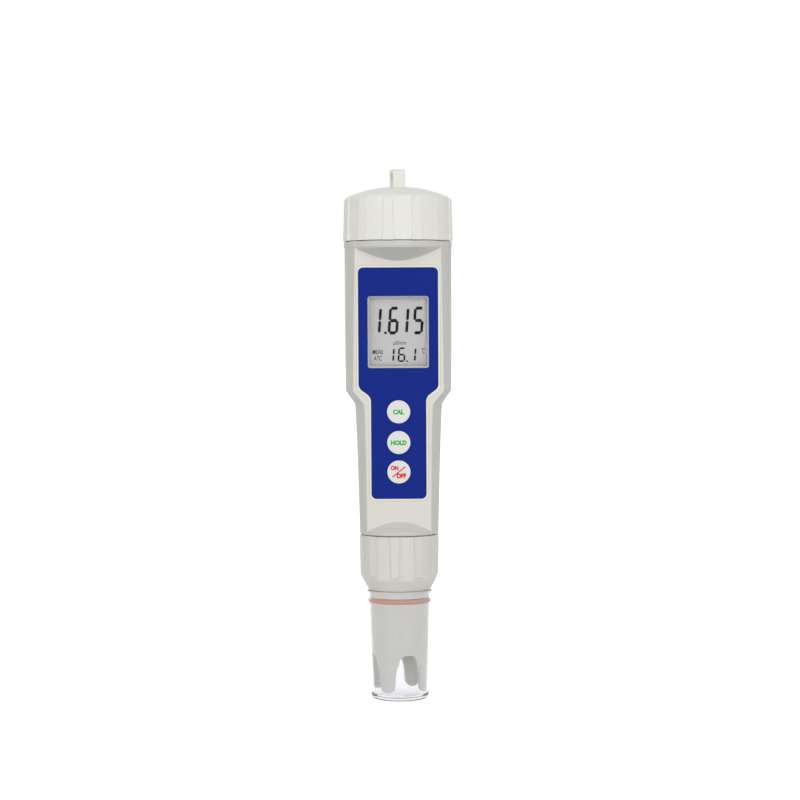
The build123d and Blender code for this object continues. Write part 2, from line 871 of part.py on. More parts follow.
# Probe
z_stem_flange = z_collar + collar_floor + body_gap
z_stem_seat = z_collar - 0.15
z_stem_top = z_housing + housing_floor - socket_plug_height - stem_top_gap
z_socket_top = z_housing + housing_floor + socket_flange_height


def probe_stem():
    """Upper part of the probe: plug with a seal groove, clamped flange, waist and spigot."""
    plug_r = bottom_neck_bore - running_gap
    z_flange_top = z_stem_flange + stem_flange_thickness
    z_seal = z_flange_top + probe_seal_lift
    seal_floor = plug_r - probe_seal_depth
    z_spigot = z_stem_seat - stem_spigot_length
    body = turned(
        (0, z_spigot),
        (stem_spigot_r, z_spigot, 0.4),
        (stem_spigot_r, z_stem_seat),
        (stem_waist_r, z_stem_seat),
        (stem_waist_r, z_stem_flange),
        (stem_flange_r, z_stem_flange),
        (stem_flange_r, z_flange_top),
        (plug_r, z_flange_top),
        (plug_r, z_seal),
        (seal_floor, z_seal),
        (seal_floor, z_seal + probe_seal_height + 2 * ring_side_gap),
        (plug_r, z_seal + probe_seal_height + 2 * ring_side_gap),
        (plug_r, z_stem_top, 0.5),
        (0, z_stem_top),
    )
    z_core_top = core_bottom + core_length
    core_hole_r = core_r + glue_gap
    hole = turned((0, z_spigot), (core_hole_r, z_spigot), (core_hole_r, z_core_top), (0, z_core_top))
    body = body - hole
    for pin_hole in pin_ring(pin_r + glue_gap, z_stem_top - pin_root, z_stem_top + 1.0):
        body = body - pin_hole
    return body


def pin_ring(radius, low, high):
    """Cylinders on the pins' circle."""
    pin = Pos(0, -pin_circle_r, low) * extrude(Circle(radius), high - low)
    return pattern(pin, pin_count, 45.0)


def probe_pins():
    """Contact pins that stand out of the top of the stem."""
    pins = [pin.solid() for pin in pin_ring(pin_r, z_stem_top - pin_root, z_stem_top + pin_length)]
    return Compound(children=pins)


def probe_seal_ring():
    plug_r = bottom_neck_bore - running_gap
    low = z_stem_flange + stem_flange_thickness + probe_seal_lift + ring_side_gap
    return seal_ring(plug_r - probe_seal_depth, plug_r + running_gap / 2, low, probe_seal_height)


def probe_socket():
    """Socket on the floor of the housing, plugged into the neck, that takes the pins."""
    z_floor = z_housing + housing_floor
    z_plug = z_floor - socket_plug_height
    plug_r = bottom_neck_bore - glue_gap
    plug = turned((0, z_plug), (plug_r, z_plug), (plug_r, z_floor), (0, z_floor))
    flange = turned(
        (0, z_floor), (socket_flange_r, z_floor), (socket_flange_r, z_socket_top, 0.5), (0, z_socket_top)
    )
    flange = flange & behind_face(wall + glue_gap)
    body = plug + flange
    for hole in pin_ring(pin_r + pin_gap, z_plug, z_stem_top + pin_length + 0.5):
        body = body - hole
    return body


def cap_bore_at(z):
    """Radius of the protective cap's bore at a height: it widens towards the mouth."""
    return cap_bore_r - cap_bore_taper * (protective_cap_length - z)


def guard_r_at(z):
    return cap_bore_at(z) - guard_side_gap


def probe_guard():
    """Sleeve round the sensor: drafted, grooved for the grip ring, cut into petals by arches."""
    z_top = z_stem_seat
    z_spigot = z_stem_seat - stem_spigot_length
    z_groove_top = z_top - grip_ring_drop + grip_ring_height / 2 + ring_side_gap
    z_groove = z_groove_top - grip_ring_height - 2 * ring_side_gap
    floor_r = cap_bore_at(z_groove) - grip_ring_depth
    spigot_bore = stem_spigot_r + glue_gap
    body = turned(
        (guard_r_at(guard_foot) - guard_wall, guard_foot),
        (guard_r_at(guard_foot), guard_foot),
        (guard_r_at(z_groove), z_groove),
        (floor_r, z_groove),
        (floor_r, z_groove_top),
        (guard_r_at(z_groove_top), z_groove_top),
        (guard_r_at(z_top), z_top, 0.2),
        (spigot_bore, z_top),
        (spigot_bore, z_spigot - 0.1),
        (guard_r_at(z_spigot) - guard_wall - 0.4, z_spigot - 0.1),
    )
    for notch in pattern(guard_notch(), notch_count, notch_phase):
        body = body - notch
    return body


def guard_notch():
    """Arched notch at the front: a rounded top, flared sides and rounded corners of the petals."""
    reach = guard_r_at(guard_foot) * math.sin(math.radians(180.0 / notch_count)) + 0.4
    right = [
        (notch_top_half, notch_top),
        (notch_shoulder_half, notch_shoulder),
        (notch_bottom_half, guard_foot),
        (reach, guard_foot),
        (reach, guard_foot - 2.0),
    ]
    left = [(-x, z) for x, z in reversed(right)]
    outline = Sketch() + make_face(Polyline(*right, *left, close=True))
    tops = outline.vertices().group_by(Axis.Y)[-1]
    outline = fillet(tops, notch_top_round)
    waist = outline.vertices().filter_by(lambda v: abs(v.Y - notch_shoulder) < 0.01)
    outline = fillet(waist, notch_waist_round)
    corners = outline.vertices().filter_by(
        lambda v: abs(v.Y - guard_foot) < 0.01 and abs(abs(v.X) - notch_bottom_half) < 0.01
    )
    outline = fillet(corners, petal_round)
    return Plane.XZ * extrude(outline, 2 * guard_r_at(guard_foot))


def cap_grip_ring():
    """Rubber ring in the guard's groove that holds the clear cap."""
    z_middle = z_stem_seat - grip_ring_drop
    low = z_middle - grip_ring_height / 2
    floor_r = cap_bore_at(low - ring_side_gap) - grip_ring_depth
    return seal_ring(floor_r, cap_bore_at(low) - running_gap / 2, low, grip_ring_height)


def sensor_core():
    """Insulating body glued into the stem, with sockets for the electrodes and thermometer."""
    body = turned(
        (0, core_bottom),
        (core_r, core_bottom, 0.6),
        (core_r, core_bottom + core_length),
        (0, core_bottom + core_length),
    )
    for x in (-electrode_spacing / 2, electrode_spacing / 2):
        body = body - Pos(x, 0, core_bottom) * extrude(Circle(electrode_r + glue_gap), pin_root)
    return body - Pos(0, thermometer_offset, core_bottom) * extrude(Circle(thermometer_r + glue_gap), pin_root)


def electrode_pins():
    """Two measuring electrodes below the core."""
    pins = []
    for x in (-electrode_spacing / 2, electrode_spacing / 2):
        pin = extrude(Circle(electrode_r), electrode_length + pin_root)
        pin = fillet(pin.edges().sort_by(Axis.Z)[0], 0.4)
        pins.append((Pos(x, 0, core_bottom - electrode_length) * pin).solid())
    return Compound(children=pins)


def temperature_sensor():
    """Metal-sheathed thermometer beside the electrodes, with a domed end."""
    sheath = extrude(Circle(thermometer_r), thermometer_length + pin_root)
    sheath = fillet(sheath.edges().sort_by(Axis.Z)[0], thermometer_r - 0.1)
    return Pos(0, thermometer_offset, core_bottom - thermometer_length) * sheath


def protective_cap():
    """Clear drafted cap over the guard: rounded foot, thin wall and a bead round its mouth."""
    top = protective_cap_length
    z_lip = top - cap_lip_height
    return turned(
        (0, 0),
        (cap_bore_at(0) + cap_wall, 0, cap_foot_round),
        (cap_bore_at(z_lip) + cap_wall, z_lip),
        (cap_bore_at(z_lip) + cap_wall + cap_lip_width, z_lip + cap_lip_width),
        (cap_bore_at(top) + cap_wall + cap_lip_width, top, 0.2),
        (cap_bore_at(top), top),
        (cap_bore_at(cap_floor), cap_floor, cap_inner_round),
        (0, cap_floor),
    )


nodes = {
    "main_housing": main_housing,
    "front_label": front_label,
    "display_window": display_window,
    "lcd_panel": lcd_panel,
    "lcd_holder": lcd_holder,
    "zebra_strips": zebra_strips,
    "circuit_board": circuit_board,
    "board_chips": board_chips,
    "button_switches": button_switches,
    "keypad_seal": keypad_seal,
    "inner_chassis": inner_chassis,
    "board_screws": board_screws,
    "button_cells": button_cells,
    "battery_base_contact": battery_base_contact,
    "battery_return_strip": battery_return_strip,
    "cap_seal_ring": cap_seal_ring,
    "probe_socket": probe_socket,
    "battery_cap": battery_cap,
    "cap_contact_plate": cap_contact_plate,
    "probe_stem": probe_stem,
    "probe_pins": probe_pins,
    "probe_seal_ring": probe_seal_ring,
    "probe_guard": probe_guard,
    "cap_grip_ring": cap_grip_ring,
    "sensor_core": sensor_core,
    "electrode_pins": electrode_pins,
    "temperature_sensor": temperature_sensor,
    "probe_collar": probe_collar,
    "protective_cap": protective_cap,
}

os.makedirs("parts", exist_ok=True)
for node_name, make in nodes.items():
    save(node_name, make())
for node_name, height_on_face in button_places.items():
    save(node_name, push_button(height_on_face))
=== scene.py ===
import logging
import math
from abc import ABC, abstractmethod
from collections.abc import Callable, Iterator, Sequence
from contextlib import contextmanager
from dataclasses import dataclass, replace
from enum import Enum

import bmesh
import bpy
from bpy.types import Material, Node, NodeSocket, NodeTree, Object
from mathutils import Matrix, Vector


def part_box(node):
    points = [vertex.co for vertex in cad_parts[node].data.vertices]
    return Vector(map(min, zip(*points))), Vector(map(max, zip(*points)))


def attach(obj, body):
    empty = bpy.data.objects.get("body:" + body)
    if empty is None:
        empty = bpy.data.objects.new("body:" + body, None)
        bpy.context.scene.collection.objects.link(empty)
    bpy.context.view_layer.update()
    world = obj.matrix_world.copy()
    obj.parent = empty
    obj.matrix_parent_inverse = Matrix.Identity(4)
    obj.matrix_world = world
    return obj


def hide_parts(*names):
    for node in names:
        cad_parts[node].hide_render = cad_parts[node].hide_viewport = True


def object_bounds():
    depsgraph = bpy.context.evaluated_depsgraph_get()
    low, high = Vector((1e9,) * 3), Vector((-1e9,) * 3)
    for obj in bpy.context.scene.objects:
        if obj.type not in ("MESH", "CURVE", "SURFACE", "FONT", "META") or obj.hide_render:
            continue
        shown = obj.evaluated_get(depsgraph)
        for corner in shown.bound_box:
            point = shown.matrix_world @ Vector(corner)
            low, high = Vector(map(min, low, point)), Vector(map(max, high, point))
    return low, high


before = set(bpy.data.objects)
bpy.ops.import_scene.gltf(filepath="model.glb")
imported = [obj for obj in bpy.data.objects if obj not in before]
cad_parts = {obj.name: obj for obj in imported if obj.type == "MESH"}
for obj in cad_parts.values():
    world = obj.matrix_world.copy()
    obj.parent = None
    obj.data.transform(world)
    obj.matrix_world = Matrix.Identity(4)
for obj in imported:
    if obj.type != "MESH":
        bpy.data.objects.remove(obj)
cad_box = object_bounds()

# The script works in metres; sizes are written in millimetres and multiplied by MM where used.
MM = 0.001
# How far ink stands above what it is printed on, in millimetres
INK_LIFT = 0.005
# Heights closer than this count as the same, in millimetres
SAME_HEIGHT = 0.05
# Height of the cutters, half of it on each side of the label's front, in millimetres
CUTTER_HEIGHT = 1.0
# Segments of a full circle, of a large corner and of a small one
CIRCLE_STEPS = 96
CORNER_STEPS = 8
SMALL_CORNER_STEPS = 6
# Points of a mesh closer than this are merged, in metres
MERGE_DISTANCE = 1e-6
# The same for the points of letters, which lie closer together
LETTER_MERGE_DISTANCE = 1e-7
# Depth of letters before they are brought to the ink's thickness, in metres
LETTER_DEPTH = 0.01
# Segments between two points of a letter's outline
LETTER_STEPS = 4
# The values that a noise pattern seldom leaves, and its levels of detail
NOISE_RANGE = (0.3, 0.7)
NOISE_DETAIL = 3.0
# The least roughness that a pattern may leave
SMOOTHEST = 0.02
# Length of one wave of the wave texture at a scale of 1
WAVE_LENGTH = 0.314
log = logging.getLogger("meter")


# Materials


def linear(hex_colour: str) -> tuple[float, float, float, float]:
    """Turn an sRGB hex colour into linear light.

    Args:
        hex_colour: The colour as "#RRGGBB".

    Returns:
        Linear red, green, blue and an alpha of 1.
    """
    channels = [int(hex_colour[i : i + 2], 16) / 255 for i in (1, 3, 5)]
    red, green, blue = (
        c / 12.92 if c <= 0.04045 else ((c + 0.055) / 1.055) ** 2.4 for c in channels
    )
    return (red, green, blue, 1.0)


def add_node(
    tree: NodeTree,
    kind: str,
    inputs: dict[str | int, object] | None = None,
    **settings: object,
) -> Node:
    """Add a shader node, set its properties and fill or link its inputs.

    Args:
        tree: The node tree that gets the node.
        kind: The node's type, such as "ShaderNodeBump".
        inputs: Values by socket name or number; an output socket is linked.
        **settings: Properties of the node by name.

    Returns:
        The new node.
    """
    node = tree.nodes.new(kind)
    for name, value in settings.items():
        setattr(node, name, value)
    for socket, value in (inputs or {}).items():
        if isinstance(value, NodeSocket):
            tree.links.new(value, node.inputs[socket])
        else:
            node.inputs[socket].default_value = value
    return node


def calculated(tree: NodeTree, operation: str, *values: object) -> NodeSocket:
    """Add a calculation on numbers.

    Args:
        tree: The node tree that gets it.
        operation: The math node's operation, such as "MULTIPLY".
        *values: What it works on, numbers or output sockets.

    Returns:
        The result.
    """
    node = add_node(tree, "ShaderNodeMath", dict(enumerate(values)), operation=operation)
    return node.outputs["Value"]


def mixed(tree: NodeTree, share: NodeSocket, first: object, second: object) -> NodeSocket:
    """Mix two colours.

    Args:
        tree: The node tree that gets the mix.
        share: How much there is of the second colour.
        first: The first colour, or an output socket.
        second: The second colour, or an output socket.

    Returns:
        The mixed colour.
    """
    # The node's colour sockets share their names with its number sockets, so they go by number
    inputs = {"Factor": share, 6: first, 7: second}
    return add_node(tree, "ShaderNodeMix", inputs, data_type="RGBA").outputs[2]


@dataclass(frozen=True)
class Finish(ABC):
    """A material with the surface that its process leaves.

    Attributes:
        name: What it is and how its surface was made.
        colour: Its sRGB hex colour.
        roughness: Mean roughness of its surface.
    """

    name: str
    colour: str
    roughness: float

    def material(self) -> Material:
        """Return this finish as a material, built the first time it is asked for."""
        return bpy.data.materials.get(self.name) or self.build()

    def build(self) -> Material:
        """Build the shader and let the finish add what is its own.

        Returns:
            The new material.
        """
        material = bpy.data.materials.new(self.name)
        material.use_nodes = True
        tree = material.node_tree
        tree.nodes.clear()
        shader = add_node(
            tree,
            "ShaderNodeBsdfPrincipled",
            {"Base Color": linear(self.colour), "Roughness": self.roughness},
        )
        add_node(tree, "ShaderNodeOutputMaterial", {"Surface": shader.outputs["BSDF"]})
        self.surface(tree, shader)
        return material

    @abstractmethod
    def surface(self, tree: NodeTree, shader: Node) -> None:
        """Add what is this finish's own to a material's tree and its main shader."""

    def noise(
        self, tree: NodeTree, size: float, stretch: Sequence[float] = (1, 1, 1)
    ) -> NodeSocket:
        """Add a noise pattern on object coordinates.

        Args:
            tree: The material's node tree.
            size: Size of one grain in millimetres.
            stretch: How many times finer the grain is along each axis.

        Returns:
            The pattern.
        """
        place = add_node(tree, "ShaderNodeTexCoord").outputs["Object"]
        mapping = add_node(tree, "ShaderNodeMapping", {"Vector": place, "Scale": tuple(stretch)})
        place = mapping.outputs["Vector"]
        inputs = {"Vector": place, "Scale": 1 / (size * MM), "Detail": NOISE_DETAIL}
        return add_node(tree, "ShaderNodeTexNoise", inputs).outputs["Fac"]

    def vary(self, tree: NodeTree, shader: Node, pattern: NodeSocket, spread: float) -> None:
        """Let a pattern raise and lower the roughness round its mean.

        Args:
            tree: The material's node tree.
            shader: Its main shader.
            pattern: The pattern.
            spread: How far the roughness goes up and down.
        """
        ranged = add_node(
            tree,
            "ShaderNodeMapRange",
            {
                "Value": pattern,
                "From Min": NOISE_RANGE[0],
                "From Max": NOISE_RANGE[1],
                "To Min": max(self.roughness - spread, SMOOTHEST),
                "To Max": min(self.roughness + spread, 1.0),
            },
        )
        tree.links.new(ranged.outputs["Result"], shader.inputs["Roughness"])

    def shade(self, tree: NodeTree, shader: Node, pattern: NodeSocket, darker: str) -> None:
        """Let a pattern mix a second sRGB hex colour into the first."""
        colour = mixed(tree, pattern, linear(self.colour), linear(darker))
        tree.links.new(colour, shader.inputs["Base Color"])

    def emboss(self, tree: NodeTree, shader: Node, pattern: NodeSocket, depth: float) -> None:
        """Let a pattern press the surface in by a depth in millimetres."""
        bump = add_node(tree, "ShaderNodeBump", {"Height": pattern, "Distance": depth * MM})
        tree.links.new(bump.outputs["Normal"], shader.inputs["Normal"])


@dataclass(frozen=True)
class MouldedPlastic(Finish):
    """Plastic from a spark-eroded mould: matt, with a fine even grain and a faint mottle.

    Attributes:
        darker: Hex colour of the mottle's darker side.
        grain: Size of a grain in millimetres, coarser than the real one so that it shows.
        depth: Depth of the grain in millimetres.
        mottle: Size of a patch of the mottle in millimetres.
        spread: How far the mottle moves the roughness.
    """

    darker: str
    grain: float = 0.45
    depth: float = 0.006
    mottle: float = 9.0
    spread: float = 0.05

    def surface(self, tree: NodeTree, shader: Node) -> None:
        """Add the grain, and a slow mottle in colour and gloss.

        Args:
            tree: The material's node tree.
            shader: Its main shader.
        """
        mottle = self.noise(tree, self.mottle)
        self.shade(tree, shader, mottle, self.darker)
        self.vary(tree, shader, mottle, self.spread)
        self.emboss(tree, shader, self.noise(tree, self.grain), self.depth)


@dataclass(frozen=True)
class PaintedSheenPlastic(MouldedPlastic):
    """Moulded plastic with a painted sheen: its flat front is painted paler and warmer than its
    round sides.

    Attributes:
        front_colour: Hex colour of the painted sheen on the flat front.
        tilt: Degrees by which the flat front leaves the upright.
        reach: Distance of the flat front from the axis, in millimetres.
        band: How far from the front's plane the painted sheen goes, in millimetres.
    """

    front_colour: str = "#FFFFFF"
    tilt: float = 0.0
    reach: float = 0.0
    band: float = 0.12

    def surface(self, tree: NodeTree, shader: Node) -> None:
        """Add the grain, then the painted sheen: a paler front where a point lies in its plane.

        Args:
            tree: The material's node tree.
            shader: Its main shader.
        """
        super().surface(tree, shader)
        angle = math.radians(self.tilt)
        place = add_node(tree, "ShaderNodeTexCoord").outputs["Object"]
        depth = add_node(
            tree,
            "ShaderNodeVectorMath",
            {0: place, 1: (0, -math.cos(angle), -math.sin(angle))},
            operation="DOT_PRODUCT",
        ).outputs["Value"]
        # Painted sheen: the light that the flat face reflects, painted in as a paler, warmer
        # colour
        on_front = calculated(tree, "COMPARE", depth, self.reach * MM, self.band * MM)
        sides = shader.inputs["Base Color"].links[0].from_socket
        colour = mixed(tree, on_front, sides, linear(self.front_colour))
        tree.links.new(colour, shader.inputs["Base Color"])


@dataclass(frozen=True)
class ClearMoulding(Finish):
    """Polished clear plastic: sharp reflections, with the slight waviness of a moulded wall.

    Attributes:
        ior: Refractive index.
        wave: Length of the waviness in millimetres.
        depth: Depth of the waviness in millimetres.
        shine: Share of the reflection that the surface keeps, 0.5 for all of it.
    """

    ior: float
    wave: float = 7.0
    depth: float = 0.004
    shine: float = 0.5

    def surface(self, tree: NodeTree, shader: Node) -> None:
        """Make the shader clear and add the waviness.

        Args:
            tree: The material's node tree.
            shader: Its main shader.
        """
        shader.inputs["Transmission Weight"].default_value = 1.0
        shader.inputs["Specular IOR Level"].default_value = self.shine
        shader.inputs["IOR"].default_value = self.ior
        self.emboss(tree, shader, self.noise(tree, self.wave), self.depth)


@dataclass(frozen=True)
class PrintedFilm(Finish):
    """Screen-printed film: an even ink under a satin top layer, with a slight orange peel.

    Attributes:
        darker: Hex colour where the ink lies thicker.
        shine: Share of the reflection that the top layer keeps, 0.5 for all of it.
        patch: Size of an uneven patch of ink in millimetres.
        peel: Size of a bump of the orange peel in millimetres.
        peel_depth: Depth of the orange peel in millimetres.
        spread: How far the orange peel moves the roughness.
    """

    darker: str
    shine: float = 0.08
    patch: float = 6.0
    peel: float = 1.6
    peel_depth: float = 0.003
    spread: float = 0.04

    def surface(self, tree: NodeTree, shader: Node) -> None:
        """Add the ink's unevenness and the film's orange peel.

        Args:
            tree: The material's node tree.
            shader: Its main shader.
        """
        peel = self.noise(tree, self.peel)
        shader.inputs["Specular IOR Level"].default_value = self.shine
        self.shade(tree, shader, self.noise(tree, self.patch), self.darker)
        self.vary(tree, shader, peel, self.spread)
        self.emboss(tree, shader, peel, self.peel_depth)


@dataclass(frozen=True)
class LiquidCrystal(Finish):
    """Reflective liquid crystal panel: grey, with the sparkle of the reflector behind it.

    Attributes:
        darker: Hex colour of the reflector's darker specks.
        speck: Size of a speck in millimetres.
        spread: How far the specks move the roughness.
    """

    darker: str
    speck: float = 0.25
    spread: float = 0.06

    def surface(self, tree: NodeTree, shader: Node) -> None:
        """Add the reflector's specks.

        Args:
            tree: The material's node tree.
            shader: Its main shader.
        """
        specks = self.noise(tree, self.speck)
        self.shade(tree, shader, specks, self.darker)
        self.vary(tree, shader, specks, self.spread)


@dataclass(frozen=True)
class MouldedRubber(Finish):
    """Moulded rubber: dull, slightly powdery, with a fine grit.

    Attributes:
        darker: Hex colour of the hollows in the grit.
        shine: Share of the reflection that the surface keeps, 0.5 for all of it.
        grit: Size of a grain of the grit in millimetres.
        depth: Depth of the grit in millimetres.
    """

    darker: str
    shine: float = 0.3
    grit: float = 0.3
    depth: float = 0.008

    def surface(self, tree: NodeTree, shader: Node) -> None:
        """Dull the shine and add the grit.

        Args:
            tree: The material's node tree.
            shader: Its main shader.
        """
        grit = self.noise(tree, self.grit)
        shader.inputs["Specular IOR Level"].default_value = self.shine
        self.shade(tree, shader, grit, self.darker)
        self.emboss(tree, shader, grit, self.depth)


@dataclass(frozen=True)
class RolledMetal(Finish):
    """Rolled or turned metal: bright, with fine lines along one axis that spread the gloss.

    Attributes:
        lines: How many times finer the lines are along each axis.
        length: Length of a line in millimetres.
        depth: Depth of the lines in millimetres.
        spread: How far the lines move the roughness.
    """

    lines: tuple[float, float, float]
    length: float = 1.2
    depth: float = 0.003
    spread: float = 0.08

    def surface(self, tree: NodeTree, shader: Node) -> None:
        """Make the shader metal and add the lines.

        Args:
            tree: The material's node tree.
            shader: Its main shader.
        """
        shader.inputs["Metallic"].default_value = 1.0
        streaks = self.noise(tree, self.length, self.lines)
        self.vary(tree, shader, streaks, self.spread)
        self.emboss(tree, shader, streaks, self.depth)


@dataclass(frozen=True)
class CoatedBoard(Finish):
    """Glass-cloth board under solder resist: glossy, with the cloth's weave showing faintly.

    Attributes:
        thread: Spacing of the cloth's threads in millimetres.
        coat: Weight of the resist's gloss.
        depth: Depth of the weave in millimetres.
    """

    thread: float
    coat: float = 0.5
    depth: float = 0.01

    def surface(self, tree: NodeTree, shader: Node) -> None:
        """Add the resist's gloss and the two directions of the weave.

        Args:
            tree: The material's node tree.
            shader: Its main shader.
        """
        shader.inputs["Coat Weight"].default_value = self.coat
        place = add_node(tree, "ShaderNodeTexCoord").outputs["Object"]
        inputs = {"Vector": place, "Scale": WAVE_LENGTH / (self.thread * MM)}
        threads = [
            add_node(tree, "ShaderNodeTexWave", inputs, bands_direction=axis).outputs["Fac"]
            for axis in ("X", "Z")
        ]
        self.emboss(tree, shader, calculated(tree, "MULTIPLY", *threads), self.depth)


# Tilt of the flat front, in degrees from the upright
FRONT_TILT = 1.79

# The housing: matt light grey, with a painted sheen that makes its flat front warmer and paler
# than the sides
HOUSING_ABS = PaintedSheenPlastic(
    "moulded_abs_light_grey",
    "#D2D1CB",
    0.55,
    "#CECDC7",
    # The colour of the painted sheen on the flat front
    front_colour="#E4E1DA",
    tilt=FRONT_TILT,
)
# The battery cap: the palest of the plastics and matt, so its ribs show only as soft steps
CAP_ABS = MouldedPlastic("moulded_abs_ivory", "#EDEDE5", 0.5, "#EAEAE1")
# The collar: matt like the cap, in a warmer grey between the cap and the housing
COLLAR_ABS = MouldedPlastic("moulded_abs_warm_grey", "#E2E0D8", 0.5, "#DEDCD3")
# The sleeve round the sensor: smooth, with a shallower grain and more sheen than the housing
GUARD_ABS = MouldedPlastic("moulded_abs_smooth_grey", "#E2E1D8", 0.3, "#DFDED4", 0.6, 0.002)
# The buttons: nearly white, neutral and smooth from the mould
BUTTON_ABS = MouldedPlastic("moulded_abs_button_white", "#EAEAEA", 0.42, "#E6E6E7", 0.4, 0.003)
# The chassis and the display's holder: dull black, so that nothing shines behind the window
CHASSIS_ABS = MouldedPlastic("moulded_abs_black", "#26272A", 0.55, "#1F2023")
# The probe's socket: dark grey, a shade paler than the chassis
SOCKET_PBT = MouldedPlastic("moulded_pbt_dark_grey", "#3A3B3D", 0.5, "#333436")
# The sensor's core: cast, so glossier than the moulded blacks
CORE_EPOXY = MouldedPlastic("cast_epoxy_black", "#1E1F22", 0.3, "#191A1C", 0.8, 0.002)
# Chips: a dull, finely pitted charcoal
CHIP_EPOXY = MouldedPlastic("moulded_epoxy_chip", "#2B2C2E", 0.6, "#242527", 0.2, 0.004)
# Switches: matt, with a blue touch in their dark grey
SWITCH_NYLON = MouldedPlastic("moulded_nylon_switch", "#33363A", 0.5, "#2C2F33")
# The label's bare film: a cream line round the print. The same cream also makes a painted
# highlight, a ring on each button's rounded edge
LABEL_FILM_AND_EDGE_HIGHLIGHT = PrintedFilm("cream_film_and_painted_highlight", "#F8F5E2", 0.4, "#F4F0DB")
# The label's print: a deep even blue with hardly any sheen
LABEL_BLUE = PrintedFilm("printed_film_blue", "#152D8D", 0.45, "#132985")
# The words on the buttons: flat bright inks
GREEN_INK = PrintedFilm("printed_ink_green", "#46C834", 0.45, "#2FA81F")
RED_INK = PrintedFilm("printed_ink_red", "#EE2A26", 0.45, "#DC1E1B")
# The display's digits and its small words: near black, flat on the grey
SEGMENT_BLACK = PrintedFilm("display_segments_black", "#121214", 0.4, "#0E0E10")
ANNUNCIATOR_BLACK = PrintedFilm("display_annunciators_black", "#1C1C1E", 0.4, "#181819")
# The display's ground: a neutral grey with a fine sparkle
PANEL_GREY = LiquidCrystal("liquid_crystal_grey", "#B7B6B6", 0.32, "#B0AFAF")
# Both clear parts bend light less here than the real plastics do. So the clear cap keeps a
# soft foot and rim, and the window keeps the white room's reflection off the display.
CAP_CLEAR = ClearMoulding("moulded_polystyrene_clear", "#F1F1F4", 0.03, 1.32)
PANE_CLEAR = ClearMoulding("polished_acrylic_clear", "#FFFFFF", 0.02, 1.15, 12.0, 0.002, 0.08)
# The ring that grips the clear cap: dull salmon red
GRIP_SILICONE = MouldedRubber("moulded_silicone_red", "#DFA692", 0.6, "#D99E89")
# The seals: the dullest black of all
SEAL_NITRILE = MouldedRubber("moulded_nitrile_black", "#1C1C1D", 0.7, "#171718")
# The sheet behind the buttons: a powdery mid grey
KEYPAD_SILICONE = MouldedRubber("moulded_silicone_grey", "#9A9B9C", 0.65, "#939495")
# The display's contact strips: a dull mauve, speckled dark from the carbon layers in them
CONTACT_RUBBER = MouldedRubber("layered_contact_rubber", "#5B4A52", 0.6, "#2A2A2C")
# Screws: cool and bright, with fine lines
ZINC_STEEL = RolledMetal("zinc_plated_steel", "#C6C7C9", 0.32, (1.0, 1.0, 8.0))
# Cells: warmer and brighter than the screws
CELL_STEEL = RolledMetal("nickel_plated_steel_can", "#CFCDC8", 0.24, (1.0, 1.0, 10.0))
# Spring contacts: a yellow touch from the brass under the nickel
SPRING_BRASS = RolledMetal("nickel_plated_spring_brass", "#D2C7A8", 0.28, (6.0, 1.0, 1.0))
# The probe's pins: gold
GOLD_PIN = RolledMetal("gold_plated_brass", "#E6C06A", 0.22, (1.0, 1.0, 10.0))
# Electrodes and the temperature sensor: turned, with rings that catch the light
ELECTRODE_STEEL = RolledMetal("turned_stainless_steel", "#C9CACC", 0.26, (1.0, 1.0, 12.0))
# The circuit board: glossy deep green with a faint weave
BOARD_GREEN = CoatedBoard("glass_cloth_board_green", "#1D5A3A", 0.35, 0.7)


# Modelling steps


def choose(*pieces: Object) -> None:
    """Select some pieces alone and make the first of them the active one.

    Args:
        *pieces: The pieces; with none of them, everything is deselected.
    """
    bpy.ops.object.select_all(action="DESELECT")
    for piece in pieces:
        piece.select_set(True)
    if pieces:
        bpy.context.view_layer.objects.active = pieces[0]


@contextmanager
def editing(piece: Object) -> Iterator[None]:
    """Select one piece alone and keep it in edit mode for a block of steps.

    Args:
        piece: The piece to edit.

    Yields:
        Nothing; the steps in the block act on the piece.
    """
    choose(piece)
    bpy.ops.object.mode_set(mode="EDIT")
    yield
    bpy.ops.object.mode_set(mode="OBJECT")


def pick(piece: Object, test: Callable[[Vector], bool]) -> None:
    """Select the vertices of an edited piece by their place, with the edges and faces between.

    Args:
        piece: The piece in edit mode.
        test: Says of a vertex's place whether it is selected.
    """
    bpy.ops.mesh.select_all(action="DESELECT")
    mesh = bmesh.from_edit_mesh(piece.data)
    for vertex in mesh.verts:
        vertex.select = test(vertex.co)
    mesh.select_flush(True)
    bmesh.update_edit_mesh(piece.data)


def named(name: str) -> Object:
    """Name the primitive that was added last.

    Args:
        name: The piece's name.

    Returns:
        The piece.
    """
    piece = bpy.context.active_object
    piece.name = name
    piece.data.name = name
    return piece


def add_rectangle(name: str, width: float, height: float) -> Object:
    """Add a flat rectangle round the origin in the XY plane, sizes in millimetres.

    Args:
        name: The piece's name.
        width: Its size along X.
        height: Its size along Y.

    Returns:
        The rectangle.
    """
    choose()
    bpy.ops.mesh.primitive_plane_add(size=1.0)
    piece = named(name)
    piece.data.transform(Matrix.Diagonal((width * MM, height * MM, 1.0, 1.0)))
    return piece


def add_disc(name: str, radius: float, steps: int) -> Object:
    """Add a flat disc round the origin in the XY plane.

    Args:
        name: The piece's name.
        radius: Its radius in millimetres.
        steps: Segments of its rim.

    Returns:
        The disc.
    """
    choose()
    bpy.ops.mesh.primitive_circle_add(vertices=steps, radius=radius * MM, fill_type="NGON")
    return named(name)


def select_everything() -> None:
    """Select all of the piece that is in edit mode."""
    bpy.ops.mesh.select_all(action="SELECT")


def at_height(height: float) -> Callable[[Vector], bool]:
    """Make a test that picks the places at one height on the drawing board.

    Args:
        height: The height in millimetres.

    Returns:
        The test.
    """
    return lambda place: abs(place.y - height * MM) < SAME_HEIGHT * MM


